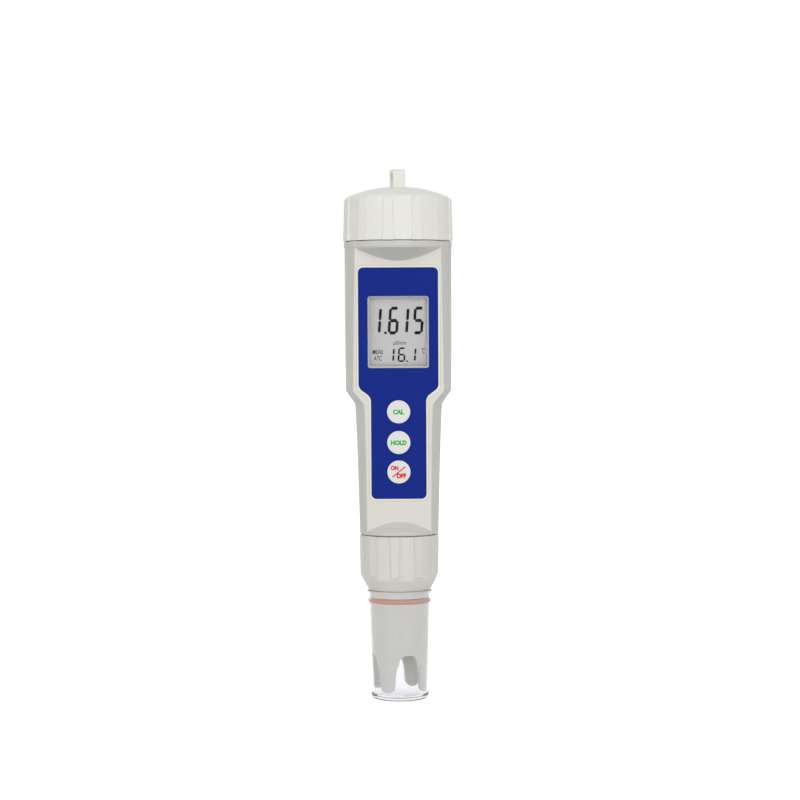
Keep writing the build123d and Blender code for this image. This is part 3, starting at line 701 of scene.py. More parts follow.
def round_corners(piece: Object, test: Callable[[Vector], bool], run: float, steps: int) -> None:
    """Round the corners of a flat outline that pass a test.

    Args:
        piece: The flat piece in edit mode.
        test: Says of a corner's place whether it is rounded.
        run: How far from the corner the arc starts, in millimetres.
        steps: Segments of each arc.
    """
    pick(piece, test)
    bpy.ops.mesh.bevel(offset=run * MM, segments=steps, affect="VERTICES", profile=0.5)


def thicken(thickness: float) -> None:
    """Extrude the flat piece that is in edit mode up from its plane.

    Args:
        thickness: How far it is extruded, in millimetres.
    """
    select_everything()
    bpy.ops.mesh.extrude_region_move(TRANSFORM_OT_translate={"value": (0, 0, thickness * MM)})
    select_everything()
    bpy.ops.mesh.normals_make_consistent(inside=False)


def cut(piece: Object, cutter: Object) -> None:
    """Cut one piece out of another and delete the cutter.

    Args:
        piece: The piece that gets the opening.
        cutter: The solid that is cut out of it.
    """
    modifier = piece.modifiers.new("cut", "BOOLEAN")
    modifier.object = cutter
    modifier.operation = "DIFFERENCE"
    modifier.solver = "EXACT"
    bpy.context.view_layer.objects.active = piece
    bpy.ops.object.modifier_apply(modifier=modifier.name)
    bpy.data.objects.remove(cutter)


def copied(piece: Object, place: Matrix) -> Object:
    """Copy a piece with a mesh of its own and put the copy in its place.

    Args:
        piece: The piece to copy.
        place: Where the copy goes, from the piece's own place.

    Returns:
        The copy.
    """
    copy = piece.copy()
    copy.data = piece.data.copy()
    copy.data.transform(place)
    bpy.context.scene.collection.objects.link(copy)
    return copy


def joined(name: str, parts: Sequence[Object]) -> Object:
    """Join parts into one piece.

    Args:
        name: The piece's name.
        parts: The parts, of which the first keeps its object.

    Returns:
        The joined piece.
    """
    choose(*parts)
    bpy.ops.object.join()
    return named(name)


def fit_out(piece: Object, body: str, finish: Finish, angle: float = 35.0) -> Object:
    """Finish a piece: smooth it, give it its material and let it ride on its body.

    Args:
        piece: The finished mesh.
        body: The body of the frame that carries it.
        finish: Its material.
        angle: Edges sharper than this many degrees stay sharp.

    Returns:
        The piece.
    """
    choose(piece)
    bpy.ops.object.shade_smooth_by_angle(angle=math.radians(angle))
    piece.data.materials.clear()
    piece.data.materials.append(finish.material())
    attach(piece, body)
    log.info("%s rides on %s", piece.name, body)
    return piece


def dress(finishes: dict[str, Finish]) -> None:
    """Give nodes of the frame their materials.

    Args:
        finishes: The finish of each node by the node's name.
    """
    for name, finish in finishes.items():
        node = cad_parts[name]
        node.data.materials.clear()
        node.data.materials.append(finish.material())
        log.info("%s dressed in %s", name, finish.name)


# The flat front


@dataclass(frozen=True)
class FlatFront:
    """The tilted flat front as a drawing board: x to the right, y up the face, z out of it.

    Its plane is the front of the label sheet, as the frame has it.

    Attributes:
        tilt: Degrees by which the face leaves the upright.
    """

    tilt: float = FRONT_TILT

    def outward(self) -> Vector:
        """Return the direction that points straight out of the face, one long."""
        angle = math.radians(self.tilt)
        return Vector((0, -math.cos(angle), -math.sin(angle)))

    def reach(self, node: str) -> float:
        """Return how far a node stands out from the axis across the face, in metres."""
        outward = self.outward()
        return max(vertex.co.dot(outward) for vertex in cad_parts[node].data.vertices)

    def rise(self, node: str) -> float:
        """Return how far a node stands proud of the label, in metres."""
        return self.reach(node) - self.reach("front_label")

    def board(self) -> Matrix:
        """Find the way from the drawing board to the frame.

        Returns:
            The matrix that puts a flat piece on the face.
        """
        outward = self.outward()
        up = outward.cross(Vector((1, 0, 0)))
        start = outward * self.reach("front_label")
        start -= up * (start.z / up.z)
        return Matrix(
            (
                (1.0, up.x, outward.x, start.x),
                (0.0, up.y, outward.y, start.y),
                (0.0, up.z, outward.z, start.z),
                (0.0, 0.0, 0.0, 1.0),
            )
        )

    def middle(self, node: str) -> Vector:
        """Return the middle of a node's box on the drawing board, in metres."""
        low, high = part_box(node)
        return self.board().inverted() @ ((low + high) / 2)

    def place(self, piece: Object, across: float, up: float, proud: float) -> None:
        """Move a flat piece from the origin to its place on the face, distances in metres."""
        piece.data.transform(self.board() @ Matrix.Translation((across, up, proud)))


@dataclass(frozen=True)
class LabelPrint:
    """The blue print on the cream label: wide beside the display and narrow beside the buttons.

    Sizes are in millimetres.

    Attributes:
        front: The flat front that carries it.
        rim: Width of the cream border that is left round the print.
        narrow: Width of the print beside the buttons.
        waist_top: Height where the sides start to draw in.
        waist_bottom: Height where they run straight again.
        corner_run: Length of the rounding at the corners of the sheet.
        waist_runs: Lengths of the roundings at the top and the foot of the waist.
        ring_r: Radius of the opening round each button.
        window_run: Length of the rounding at the corners of the display opening.
        thickness: Thickness of the ink.
        search: How far the display opening is looked for, to each side and up and down.
    """

    front: FlatFront
    rim: float = 0.62
    narrow: float = 19.4
    waist_top: float = 111.0
    waist_bottom: float = 107.8
    corner_run: float = 1.8
    waist_runs: tuple[float, float] = (1.3, 1.5)
    ring_r: float = 4.05
    window_run: float = 0.85
    thickness: float = 0.07
    search: tuple[float, float] = (12.0, 14.0)

    def sheet(self) -> Object:
        """Model the print as one flat outline with its corners rounded.

        Returns:
            The sheet on the drawing board.
        """
        low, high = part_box("front_label")
        board = self.front.board().inverted()
        bottom = (board @ low).y / MM + self.rim
        top = (board @ high).y / MM - self.rim
        wide = (high.x - low.x) / MM - 2 * self.rim
        piece = add_rectangle("label_print", wide, top - bottom)
        piece.data.transform(Matrix.Translation((0, (top + bottom) / 2 * MM, 0)))
        with editing(piece):
            for height in (self.waist_top, self.waist_bottom):
                select_everything()
                bpy.ops.mesh.bisect(plane_co=(0, height * MM, 0), plane_no=(0, 1, 0))
            pick(piece, lambda place: place.y < (self.waist_bottom + SAME_HEIGHT) * MM)
            bpy.ops.transform.resize(value=(self.narrow / wide, 1, 1), center_override=(0, 0, 0))
            select_everything()
            bpy.ops.mesh.dissolve_faces()
            for height, run in (
                (top, self.corner_run),
                (self.waist_top, self.waist_runs[0]),
                (self.waist_bottom, self.waist_runs[1]),
                (bottom, self.corner_run),
            ):
                round_corners(piece, at_height(height), run, CORNER_STEPS)
            thicken(self.thickness)
        return piece

    def window(self) -> Object:
        """Model the cutter for the display opening.

        Returns:
            The cutter on the drawing board.
        """
        low, high = self.opening()
        cutter = add_rectangle("window_cutter", high.x - low.x, high.y - low.y)
        middle = (low + high) / 2
        cutter.data.transform(Matrix.Translation((*(middle * MM), -CUTTER_HEIGHT / 2 * MM)))
        with editing(cutter):
            round_corners(cutter, lambda place: True, self.window_run, SMALL_CORNER_STEPS)
            thicken(CUTTER_HEIGHT)
        return cutter

    def opening(self) -> tuple[Vector, Vector]:
        """Find the display opening of the label sheet in the frame.

        Returns:
            Its lowest and highest corners on the drawing board, in millimetres.
        """
        board = self.front.board().inverted()
        pane = self.front.middle("display_window")
        corners = [board @ vertex.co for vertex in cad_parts["front_label"].data.vertices]
        across, up = (limit * MM for limit in self.search)
        rim = [c / MM for c in corners if abs(c.x) < across and abs(c.y - pane.y) < up]
        xs = [corner.x for corner in rim]
        ys = [corner.y for corner in rim]
        return Vector((min(xs), min(ys))), Vector((max(xs), max(ys)))

    def build(self) -> None:
        """Model the print, cut its openings and lay it on the label."""
        piece = self.sheet()
        cut(piece, self.window())
        for button in Button:
            middle = self.front.middle(button.value)
            choose()
            bpy.ops.mesh.primitive_cylinder_add(
                vertices=CIRCLE_STEPS, radius=self.ring_r * MM, depth=CUTTER_HEIGHT * MM
            )
            cutter = named("ring_cutter")
            cutter.data.transform(Matrix.Translation((middle.x, middle.y, 0)))
            cut(piece, cutter)
        self.front.place(piece, 0, 0, INK_LIFT * MM)
        fit_out(piece, "housing", LABEL_BLUE)
        dress({"front_label": LABEL_FILM_AND_EDGE_HIGHLIGHT})


# Lettering


@dataclass(frozen=True)
class Legend:
    """Printed letters and the box that they fill, in millimetres from the middle of a piece.

    Attributes:
        text: The letters.
        x: Middle of the box across.
        y: Middle of the box up the face.
        width: Width of the box.
        height: Height of the box.
        weight: How much the strokes are thickened, as a share of the letters' height.
        slant: Lean of the letters, as x per y.
    """

    text: str
    x: float
    y: float
    width: float
    height: float
    weight: float = 0.0
    slant: float = 0.0

    def build(self, name: str, thickness: float) -> Object:
        """Set the letters as a thin mesh that fills the box.

        Args:
            name: The piece's name.
            thickness: Thickness of the ink in millimetres.

        Returns:
            The letters on the drawing board, with the box in its place.
        """
        choose()
        bpy.ops.object.text_add()
        piece = bpy.context.active_object
        piece.data.body = self.text
        piece.data.offset = self.weight
        piece.data.extrude = LETTER_DEPTH
        piece.data.resolution_u = LETTER_STEPS
        bpy.ops.object.convert(target="MESH")
        piece = named(name)
        corners = [vertex.co for vertex in piece.data.vertices]
        low = Vector([min(c[i] for c in corners) for i in range(3)])
        high = Vector([max(c[i] for c in corners) for i in range(3)])
        middle = (low + high) / 2
        size = high - low
        scale = (self.width * MM / size.x, self.height * MM / size.y, thickness * MM / size.z)
        lean = Matrix.Identity(4)
        lean[0][1] = self.slant
        piece.data.transform(
            Matrix.Translation((self.x * MM, self.y * MM, 0))
            @ lean
            @ Matrix.Diagonal((*scale, 1.0))
            @ Matrix.Translation(-middle)
        )
        with editing(piece):
            select_everything()
            bpy.ops.mesh.remove_doubles(threshold=LETTER_MERGE_DISTANCE)
        return piece


def add_bar(name: str, length: float, stroke: float, thickness: float) -> Object:
    """Model a flat bar with pointed ends, as in a segment display, along X.

    Args:
        name: The piece's name.
        length: Length from point to point in millimetres.
        stroke: Width of the bar in millimetres.
        thickness: Thickness of the bar in millimetres.

    Returns:
        The bar round the origin.
    """
    # A hexagon as wide as the stroke, turned so that two of its corners lie on X
    radius = stroke / math.sqrt(3)
    piece = add_disc(name, radius, 6)
    piece.data.transform(Matrix.Rotation(math.pi / 6, 4, "Z"))
    reach = length / 2 - radius
    with editing(piece):
        for side in (-1, 1):
            pick(piece, lambda place, s=side: place.x * s > 0)
            bpy.ops.transform.translate(value=(side * reach * MM, 0, 0))
        thicken(thickness)
    return piece


# The display


class Stroke(Enum):
    """Strokes of a seven-segment digit: the middle in half widths and half heights."""

    TOP = (0.0, 1.0)
    MIDDLE = (0.0, 0.0)
    BOTTOM = (0.0, -1.0)
    UPPER_LEFT = (-1.0, 0.5)
    UPPER_RIGHT = (1.0, 0.5)
    LOWER_LEFT = (-1.0, -0.5)
    LOWER_RIGHT = (1.0, -0.5)

    def is_level(self) -> bool:
        """Return whether the stroke lies level."""
        return self.value[0] == 0.0


DIGIT_STROKES: dict[str, tuple[Stroke, ...]] = {
    "1": (Stroke.UPPER_RIGHT, Stroke.LOWER_RIGHT),
    "5": (
        Stroke.TOP,
        Stroke.UPPER_LEFT,
        Stroke.MIDDLE,
        Stroke.LOWER_RIGHT,
        Stroke.BOTTOM,
    ),
    "6": (
        Stroke.TOP,
        Stroke.UPPER_LEFT,
        Stroke.MIDDLE,
        Stroke.LOWER_LEFT,
        Stroke.LOWER_RIGHT,
        Stroke.BOTTOM,
    ),
}


@dataclass(frozen=True)
class DigitRow:
    """A row of seven-segment digits, in millimetres from the middle of the display.

    Attributes:
        name: The piece's name.
        digits: Each figure and the middle of its place across.
        point: Middle of the decimal point across.
        y: Middle of the row.
        width: Distance between the upright strokes.
        height: Distance between the top and bottom strokes.
        upright: Width of the upright strokes.
        level: Width of the level strokes.
        slant: Lean of the digits, as x per y.
        gap: How much shorter a stroke is than the distance that it spans.
        dot_r: Radius of the decimal point, as a share of the upright strokes' width.
        dot_steps: Segments of the decimal point's rim.
    """

    name: str
    digits: tuple[tuple[str, float], ...]
    point: float
    y: float
    width: float
    height: float
    upright: float
    level: float
    slant: float = 0.075
    gap: float = 0.26
    dot_r: float = 0.52
    dot_steps: int = 8

    def build(self, thickness: float) -> Object:
        """Set the digits and the decimal point.

        Args:
            thickness: Thickness of the segments in millimetres.

        Returns:
            The row round the middle of the display.
        """
        span = self.height / 2
        level_bar = add_bar("level_bar", self.width - self.gap, self.level, thickness)
        upright_bar = add_bar("upright_bar", span - self.gap, self.upright, thickness)
        upright_bar.data.transform(Matrix.Rotation(math.pi / 2, 4, "Z"))
        lean = Matrix.Identity(4)
        lean[0][1] = self.slant
        parts = []
        for figure, x in self.digits:
            for stroke in DIGIT_STROKES[figure]:
                right, up = stroke.value
                bar = level_bar if stroke.is_level() else upright_bar
                spot = (right * self.width / 2 * MM, up * span * MM, 0)
                place = Matrix.Translation((x * MM, self.y * MM, 0)) @ lean
                parts.append(copied(bar, place @ Matrix.Translation(spot)))
        dot = add_disc("decimal_point", self.upright * self.dot_r, self.dot_steps)
        with editing(dot):
            thicken(thickness)
        dot.data.transform(Matrix.Translation((self.point * MM, (self.y - span) * MM, 0)))
        for bar in (level_bar, upright_bar):
            bpy.data.objects.remove(bar)
        return joined(self.name, [*parts, dot])


@dataclass(frozen=True)
class Display:
    """What the liquid crystal display shows: a reading, a temperature and their small words.

    Sizes are in millimetres from the middle of the display.

    Attributes:
        front: The flat front that carries the display.
        rows: The rows of digits.
        words: The small words and units.
        thickness: Thickness of the segments.
    """

    front: FlatFront
    rows: tuple[DigitRow, ...] = (
        DigitRow(
            name="display_reading",
            digits=(("1", -7.77), ("6", -1.61), ("1", 1.88), ("5", 7.13)),
            point=-4.5,
            y=3.95,
            width=2.7,
            height=8.65,
            upright=0.98,
            level=1.15,
        ),
        DigitRow(
            name="display_temperature",
            digits=(("1", -2.72), ("6", 1.18), ("1", 4.9)),
            point=3.0,
            y=-8.06,
            width=2.05,
            height=4.55,
            upright=0.66,
            level=0.62,
        ),
    )
    words: tuple[Legend, ...] = (
        Legend("µS/cm", 0.5, -4.0, 4.4, 1.6, weight=0.012, slant=0.1),
        Legend("MEAS", -7.2, -7.06, 3.7, 1.6, weight=0.012, slant=0.1),
        Legend("ATC", -7.2, -9.33, 2.8, 1.6, weight=0.012, slant=0.1),
        Legend("°C", 8.65, -6.65, 1.3, 2.0, weight=0.012, slant=0.1),
    )
    thickness: float = 0.02

    def build(self) -> None:
        """Lay the digits and words on the panel, and dress the panel and the window."""
        middle = self.front.middle("display_window")
        proud = self.front.rise("lcd_panel") + INK_LIFT * MM
        for row in self.rows:
            piece = row.build(self.thickness)
            self.front.place(piece, middle.x, middle.y, proud)
            fit_out(piece, "housing", SEGMENT_BLACK)
        words = [word.build("word", self.thickness) for word in self.words]
        piece = joined("display_words", words)
        self.front.place(piece, middle.x, middle.y, proud)
        fit_out(piece, "housing", ANNUNCIATOR_BLACK)
        dress({"lcd_panel": PANEL_GREY, "display_window": PANE_CLEAR})


# The buttons


class Button(Enum):
    """The push buttons from the top down; each is both a node and a body of the frame."""

    CALIBRATE = "calibrate_button"
    HOLD = "hold_button"
    POWER = "power_button"


@dataclass(frozen=True)
class Keypad:
    """The printed words on the three buttons, in millimetres from each button's middle.

    Attributes:
        front: The flat front that carries the buttons.
        calibrate: The word on the calibration button.
        hold: The word on the hold button.
        power: The words on the power button.
        stroke_length: Length of the stroke between the power button's words.
        stroke_width: Width of that stroke.
        stroke_rise: Its angle in degrees.
        rim_outer_r: Outer radius of the painted highlight, a cream ring on the rounded edge of
            each face.
        rim_width: Width of that ring.
        rim_drop: How far the ring lies below the face, on its rounded edge.
        thickness: Thickness of the ink.
    """

    front: FlatFront
    calibrate: Legend = Legend("CAL", -0.05, -0.05, 3.9, 1.8, weight=0.06)
    hold: Legend = Legend("HOLD", 0.0, -0.1, 5.55, 1.75, weight=0.06)
    power: tuple[Legend, ...] = (
        Legend("ON", -1.55, 1.4, 2.75, 1.65, weight=0.06),
        Legend("OFF", 0.85, -1.4, 3.45, 1.8, weight=0.06),
    )
    stroke_length: float = 5.95
    stroke_width: float = 0.42
    stroke_rise: float = 38.6
    rim_outer_r: float = 3.98
    rim_width: float = 0.4
    rim_drop: float = 0.03
    thickness: float = 0.02

    def rim(self, name: str) -> Object:
        """Model the painted highlight: a cream ring on the rounded edge of a button's face.

        Args:
            name: The piece's name.

        Returns:
            The ring round the origin of the drawing board.
        """
        piece = add_disc(name, self.rim_outer_r, CIRCLE_STEPS)
        with editing(piece):
            select_everything()
            bpy.ops.mesh.inset(thickness=self.rim_width * MM)
            bpy.ops.mesh.delete(type="FACE")
            thicken(self.thickness)
        return piece

    def build(self) -> None:
        """Print each button, paint the highlight on its edge and dress it."""
        stroke = add_bar("stroke", self.stroke_length, self.stroke_width, self.thickness)
        stroke.data.transform(Matrix.Rotation(math.radians(self.stroke_rise), 4, "Z"))
        prints = {
            Button.CALIBRATE: ([self.calibrate.build("word", self.thickness)], GREEN_INK),
            Button.HOLD: ([self.hold.build("word", self.thickness)], GREEN_INK),
            Button.POWER: (
                [*(word.build("word", self.thickness) for word in self.power), stroke],
                RED_INK,
            ),
        }
        for button, (parts, ink) in prints.items():
            piece = joined(button.value.replace("button", "print"), parts)
            middle = self.front.middle(button.value)
            proud = self.front.rise(button.value) + INK_LIFT * MM
            self.front.place(piece, middle.x, middle.y, proud)
            fit_out(piece, button.value, ink)
            # Painted highlight: a cream ring on the rounded edge of the button's face
            rim = self.rim(button.value.replace("button", "rim"))
            self.front.place(rim, middle.x, middle.y, proud - self.rim_drop * MM)
            fit_out(rim, button.value, LABEL_FILM_AND_EDGE_HIGHLIGHT)
            dress({button.value: BUTTON_ABS})


# Screw threads


@dataclass(frozen=True)
class ThreadRidge:
    """A right-hand helical ridge on a neck or in a cap, in millimetres.

    Attributes:
        name: The piece's name.
        root_r: Radius of the wall that carries it.
        crest_r: Radius of its crest, inside the wall for a nut.
        start: Height where it starts.
        turns: Number of turns.
        phase: Degrees by which it starts away from +X.
        pitch: Rise of one turn.
        root_width: Width at the wall.
        crest_width: Width at the crest.
        steps: Segments of one turn.
        bite: How far it reaches into the wall that carries it.
    """

    name: str
    root_r: float
    crest_r: float
    start: float
    turns: int
    phase: float = 0.0
    pitch: float = 2.0
    root_width: float = 0.85
    crest_width: float = 0.4
    steps: int = 72
    bite: float = 0.05

    def build(self) -> Object:
        """Sweep the ridge's section up a helix and run its ends out into the wall.

        Returns:
            The closed ridge.
        """
        bite = math.copysign(self.bite, self.root_r - self.crest_r)
        depth = abs(self.crest_r - self.root_r) + abs(bite)
        piece = add_rectangle(self.name, depth, self.root_width)
        piece.data.transform(Matrix.Rotation(math.pi / 2, 4, "X"))
        middle_r = (self.crest_r + self.root_r + bite) / 2
        piece.data.transform(Matrix.Translation((middle_r * MM, 0, self.start * MM)))
        outer = self.crest_r > self.root_r
        with editing(piece):
            pick(piece, lambda place: (place.x > middle_r * MM) == outer)
            ratio = self.crest_width / self.root_width
            bpy.ops.transform.resize(
                value=(1, 1, ratio), center_override=(0, 0, self.start * MM)
            )
            select_everything()
            bpy.ops.mesh.delete(type="ONLY_FACE")
        sweep = piece.modifiers.new("sweep", "SCREW")
        sweep.axis = "Z"
        sweep.angle = math.tau
        sweep.screw_offset = self.pitch * MM
        sweep.iterations = self.turns
        sweep.steps = self.steps
        sweep.render_steps = self.steps
        sweep.use_merge_vertices = False
        bpy.ops.object.modifier_apply(modifier=sweep.name)
        self.run_out(piece)
        piece.data.transform(Matrix.Rotation(math.radians(self.phase), 4, "Z"))
        return piece

    def run_out(self, piece: Object) -> None:
        """Draw both open ends of the ridge into the wall and close them.

        Args:
            piece: The swept ridge.
        """
        with editing(piece):
            select_everything()
            bpy.ops.mesh.remove_doubles(threshold=MERGE_DISTANCE)
            mesh = bmesh.from_edit_mesh(piece.data)
            middle_r = (self.crest_r + self.root_r) / 2 * MM
            outer = self.crest_r > self.root_r
            for vertex in mesh.verts:
                at_end = any(edge.is_boundary for edge in vertex.link_edges)
                vertex.select = at_end and (vertex.co.xy.length > middle_r) == outer
            mesh.select_flush(True)
            bmesh.update_edit_mesh(piece.data)
            ratio = self.root_r / self.crest_r
            bpy.ops.transform.resize(value=(ratio, ratio, 1), center_override=(0, 0, 0))
            select_everything()
            bpy.ops.mesh.fill_holes(sides=0)
            select_everything()
            bpy.ops.mesh.normals_make_consistent(inside=False)


@dataclass(frozen=True)
class ScrewJoint:
    """A ridge on a neck of the housing and the ridge that runs in it inside a cap or nut.

    Sizes are in millimetres.

    Attributes:
        neck_r: Radius of the neck where its thread is.
        nut_r: Bore of the cap or nut round it.
        clear: Radial gap between each crest and the opposite wall.
        start: Height where the neck's ridge starts.
        turns: Number of turns.
        nut_body: The body of the cap or nut.
        nut_slot: The record's material slot of the cap or nut; not used.
        nut_finish: The finish of the cap or nut.
    """

    neck_r: float
    nut_r: float
    clear: float
    start: float
    turns: int
    nut_body: str
    nut_slot: str
    nut_finish: Finish

    def build(self) -> None:
        """Model both ridges, half a pitch apart."""
        neck = ThreadRidge(
            f"{self.nut_body}_neck_thread",
            self.neck_r,
            self.nut_r - self.clear,
            self.start,
            self.turns,
        )
        fit_out(neck.build(), "housing", COLLAR_ABS)
        nut = ThreadRidge(
            f"{self.nut_body}_inner_thread",
            self.nut_r,
            self.neck_r + self.clear,
            self.start,
            self.turns,
            phase=180.0,
        )
        fit_out(nut.build(), self.nut_body, self.nut_finish)


# Sub-assemblies


@dataclass(frozen=True)
class Housing:
    """The housing with its label, display and buttons, and the screw joints at both ends.

    Attributes:
        front: The flat front.
        label_drop: How far the label lies below the flat front, in millimetres.
        cap_thread_drop: How far below the housing's top the cap's thread starts, in millimetres.
        collar_thread_rise: How far above its foot the collar's starts, in millimetres.
    """

    front: FlatFront = FlatFront()
    label_drop: float = 0.05
    cap_thread_drop: float = 4.7
    collar_thread_rise: float = 1.2

    def build(self) -> None:
        """Dress the housing and build what it carries in front."""
        surface = self.front.reach("front_label") / MM + self.label_drop
        dress(
            {
                "main_housing": replace(HOUSING_ABS, reach=surface),
                "battery_cap": CAP_ABS,
                "probe_collar": COLLAR_ABS,
            }
        )
        LabelPrint(self.front).build()
        Display(self.front).build()
        Keypad(self.front).build()

    def build_threads(self) -> None:
        """Model the threads of the battery cap and the collar, which open to the left."""
        low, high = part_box("main_housing")
        ScrewJoint(
            neck_r=16.75,
            nut_r=17.13,
            clear=0.16,
            start=high.z / MM - self.cap_thread_drop,
            turns=2,
            nut_body="battery_cap",
            nut_slot="cap_plastic",
            nut_finish=CAP_ABS,
        ).build()
        ScrewJoint(
            neck_r=11.9,
            nut_r=12.2,
            clear=0.08,
            start=low.z / MM + self.collar_thread_rise,
            turns=3,
            nut_body="collar",
            nut_slot="cap_plastic",
            nut_finish=COLLAR_ABS,
        ).build()


@dataclass(frozen=True)
class Probe:
    """The probe: its plastic parts, seals and electrodes, and the ring that grips the clear cap.

    Sizes are in millimetres.

    Attributes:
        gap: Gap between the frame's grip ring and the clear wall.
        press: How far the grip ring presses into the clear wall.
        ring_depth: Depth of the grip ring's section, from outside to inside.
        ring_corner: Rounding of the grip ring's section.
        steps: Segments round the ring.
    """

    gap: float = 0.04
    press: float = 0.03
    ring_depth: float = 1.1
    ring_corner: float = 0.2
    steps: int = 144

    def grip_ring(self) -> Object:
        """Spin the grip ring from a rounded section that is flattened against the clear wall.

        Returns:
            The ring in its place.
        """
        low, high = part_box("cap_grip_ring")
        outer_r = high.x / MM + self.gap + self.press
        piece = add_rectangle("grip_ring", self.ring_depth, (high.z - low.z) / MM)
        piece.data.transform(Matrix.Rotation(math.pi / 2, 4, "X"))
        middle = ((outer_r - self.ring_depth / 2) * MM, 0, (low.z + high.z) / 2)
        piece.data.transform(Matrix.Translation(middle))
        with editing(piece):
            round_corners(piece, lambda place: True, self.ring_corner, SMALL_CORNER_STEPS)
            select_everything()
            bpy.ops.mesh.delete(type="ONLY_FACE")
            select_everything()
            bpy.ops.mesh.spin(
                steps=self.steps, angle=math.tau, center=(0, 0, 0), axis=(0, 0, 1)
            )
            select_everything()
            bpy.ops.mesh.remove_doubles(threshold=MERGE_DISTANCE)
            bpy.ops.mesh.normals_make_consistent(inside=False)
        return piece

    def build(self) -> None:
        """Model the grip ring and dress the probe."""
        ring = fit_out(self.grip_ring(), "probe", GRIP_SILICONE, angle=60.0)
        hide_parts("cap_grip_ring")
        dress(
            {
                "probe_stem": GUARD_ABS,
                "probe_guard": GUARD_ABS,
                "probe_pins": GOLD_PIN,
                "probe_seal_ring": SEAL_NITRILE,
                "sensor_core": CORE_EPOXY,
                "electrode_pins": ELECTRODE_STEEL,
                "temperature_sensor": ELECTRODE_STEEL,
                "protective_cap": CAP_CLEAR,
            }
        )


@dataclass(frozen=True)
class Electronics:
    """The board, the chassis and the cells inside the housing."""

    def build(self) -> None:
        """Dress the inside parts."""
        dress(
            {
                "lcd_holder": CHASSIS_ABS,
                "zebra_strips": CONTACT_RUBBER,
                "circuit_board": BOARD_GREEN,
                "board_chips": CHIP_EPOXY,
                "button_switches": SWITCH_NYLON,
                "keypad_seal": KEYPAD_SILICONE,
                "inner_chassis": CHASSIS_ABS,
                "board_screws": ZINC_STEEL,
                "button_cells": CELL_STEEL,
                "battery_base_contact": SPRING_BRASS,
                "battery_return_strip": SPRING_BRASS,
                "cap_contact_plate": SPRING_BRASS,
                "cap_seal_ring": SEAL_NITRILE,
                "probe_socket": SOCKET_PBT,
            }
        )


# The studio


@dataclass(frozen=True)
class Lamp:
    """A rectangular soft light, in metres and watts.

    Attributes:
        name: Its name.
        place: Where it stands.
        size: Its width and height.
        power: Its power.
    """

    name: str
    place: tuple[float, float, float]
    size: tuple[float, float]
    power: float

    def build(self, target: Vector) -> None:
        """Add the lamp and turn it to a point.

        Args:
            target: The point.
        """
        choose()
        bpy.ops.object.light_add(type="AREA", location=self.place)
        lamp = bpy.context.active_object
        lamp.name = self.name
        lamp.data.shape = "RECTANGLE"
        lamp.data.size, lamp.data.size_y = self.size
        lamp.data.energy = self.power
        aim = target - Vector(self.place)
        lamp.rotation_mode = "QUATERNION"
        lamp.rotation_quaternion = aim.to_track_quat("-Z", "Y")


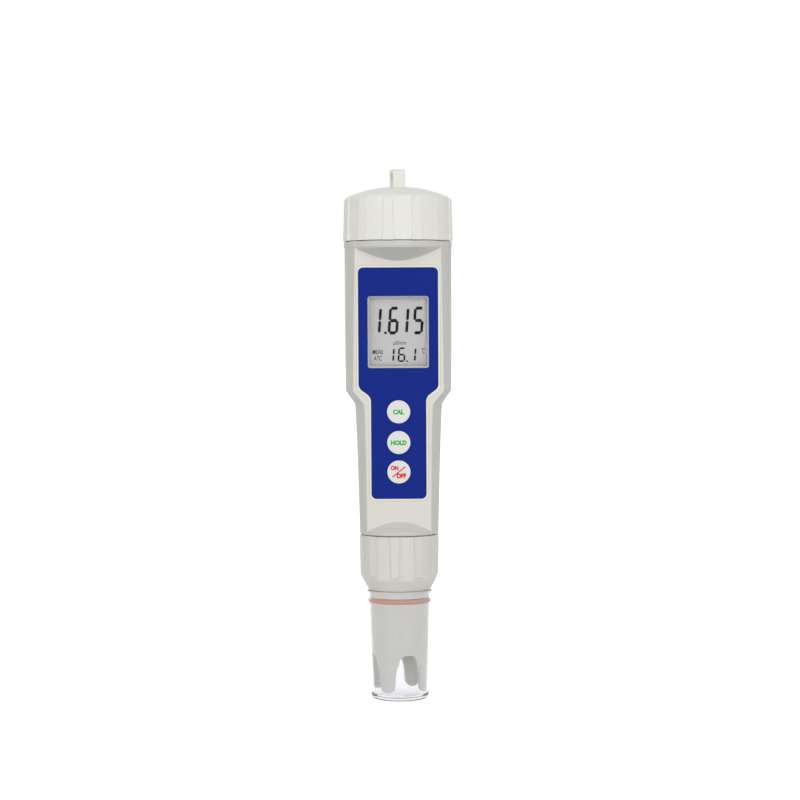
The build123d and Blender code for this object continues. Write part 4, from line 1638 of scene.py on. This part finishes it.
@dataclass(frozen=True)
class Studio:
    """A white room with a pale floor, soft lamps in front and a long lens.

    Lengths are in metres and angles in degrees.

    Attributes:
        camera_place: Where the camera stands.
        aim: The point that it looks at.
        lens: Focal length in millimetres.
        sensor: Width of the sensor in millimetres.
        roll: How far the camera leans to its right.
        floor_side: Side of the square floor.
        floor_drop: How far the floor lies below the foot, so that the two don't coincide.
        floor_colour: The floor's sRGB hex colour.
        floor_roughness: The floor's roughness.
        floor_shine: Share of the reflection that the floor keeps, 0.5 for all of it.
        ambient: Strength of the light from the room.
        floor_glow: What the floor adds where it is seen, so that it is as white as the room.
        lamps: The soft lights.
    """

    camera_place: tuple[float, float, float] = (0.0005, -0.852, 0.1348)
    aim: tuple[float, float, float] = (0.0005, 0.0, 0.1064)
    lens: float = 108.0
    sensor: float = 36.0
    roll: float = 0.3
    floor_side: float = 12.0
    floor_drop: float = 0.0001
    floor_colour: str = "#E6E6E6"
    floor_roughness: float = 0.9
    floor_shine: float = 0.1
    ambient: float = 0.55
    floor_glow: float = 0.72
    lamps: tuple[Lamp, ...] = (
        Lamp("front_lamp", (0.2, -1.1, 0.75), (0.8, 0.8), 4.7),
        Lamp("strip_lamp", (0.27, -0.5, 0.1), (0.03, 0.2), 0.16),
        Lamp("left_lamp", (-0.9, -0.7, 0.5), (0.6, 0.6), 1.6),
    )

    def backdrop_share(self, tree: NodeTree) -> NodeSocket:
        """Add nodes that tell what looks at the background from what is lit by it.

        Args:
            tree: A node tree of the world or of the floor.

        Returns:
            A socket that is 1 for camera, glossy and transmission rays.
        """
        path = add_node(tree, "ShaderNodeLightPath")
        seen = path.outputs["Is Camera Ray"]
        for kind in ("Is Glossy Ray", "Is Transmission Ray"):
            seen = calculated(tree, "MAXIMUM", seen, path.outputs[kind])
        return seen

    def build_world(self) -> None:
        """Make the room white where it is seen and dimmer where it lights."""
        world = bpy.data.worlds.new("white_room")
        bpy.context.scene.world = world
        world.use_nodes = True
        tree = world.node_tree
        tree.nodes.clear()
        level = add_node(
            tree,
            "ShaderNodeMapRange",
            {"Value": self.backdrop_share(tree), "To Min": self.ambient, "To Max": 1.0},
        )
        background = add_node(
            tree,
            "ShaderNodeBackground",
            {"Color": (1, 1, 1, 1), "Strength": level.outputs["Result"]},
        )
        add_node(tree, "ShaderNodeOutputWorld", {"Surface": background.outputs["Background"]})

    def build_floor(self) -> None:
        """Lay a pale floor that keeps a soft shadow and runs out into the white."""
        choose()
        bpy.ops.mesh.primitive_plane_add(size=self.floor_side)
        floor = named("studio_floor")
        floor.data.transform(Matrix.Translation((0, 0, -self.floor_drop)))
        material = bpy.data.materials.new("studio_paper_white")
        material.use_nodes = True
        tree = material.node_tree
        shader = tree.nodes["Principled BSDF"]
        shader.inputs["Base Color"].default_value = linear(self.floor_colour)
        shader.inputs["Roughness"].default_value = self.floor_roughness
        shader.inputs["Specular IOR Level"].default_value = self.floor_shine
        shader.inputs["Emission Color"].default_value = (1, 1, 1, 1)
        glow = calculated(tree, "MULTIPLY", self.backdrop_share(tree), self.floor_glow)
        tree.links.new(glow, shader.inputs["Emission Strength"])
        floor.data.materials.append(material)

    def build_camera(self) -> None:
        """Set up the camera with the photograph's view."""
        choose()
        bpy.ops.object.camera_add(location=self.camera_place)
        camera = bpy.context.active_object
        camera.name = "photo_camera"
        camera.data.lens = self.lens
        camera.data.sensor_width = self.sensor
        aim = Vector(self.aim) - Vector(self.camera_place)
        roll = Matrix.Rotation(math.radians(-self.roll), 3, "Z").to_quaternion()
        camera.rotation_mode = "QUATERNION"
        camera.rotation_quaternion = aim.to_track_quat("-Z", "Y") @ roll
        bpy.context.scene.camera = camera

    def build(self) -> None:
        """Set up the room, the floor, the lamps and the camera."""
        bpy.context.scene.view_settings.view_transform = "Standard"
        self.build_world()
        self.build_floor()
        low, high = cad_box
        for lamp in self.lamps:
            lamp.build((low + high) / 2)
        self.build_camera()


def main() -> None:
    """Build the sub-assemblies and the studio in order."""
    logging.basicConfig(level=logging.INFO, format="%(name)s: %(message)s")
    housing = Housing()
    housing.build()
    housing.build_threads()
    Probe().build()
    Electronics().build()
    Studio().build()


if __name__ == "__main__":
    main()
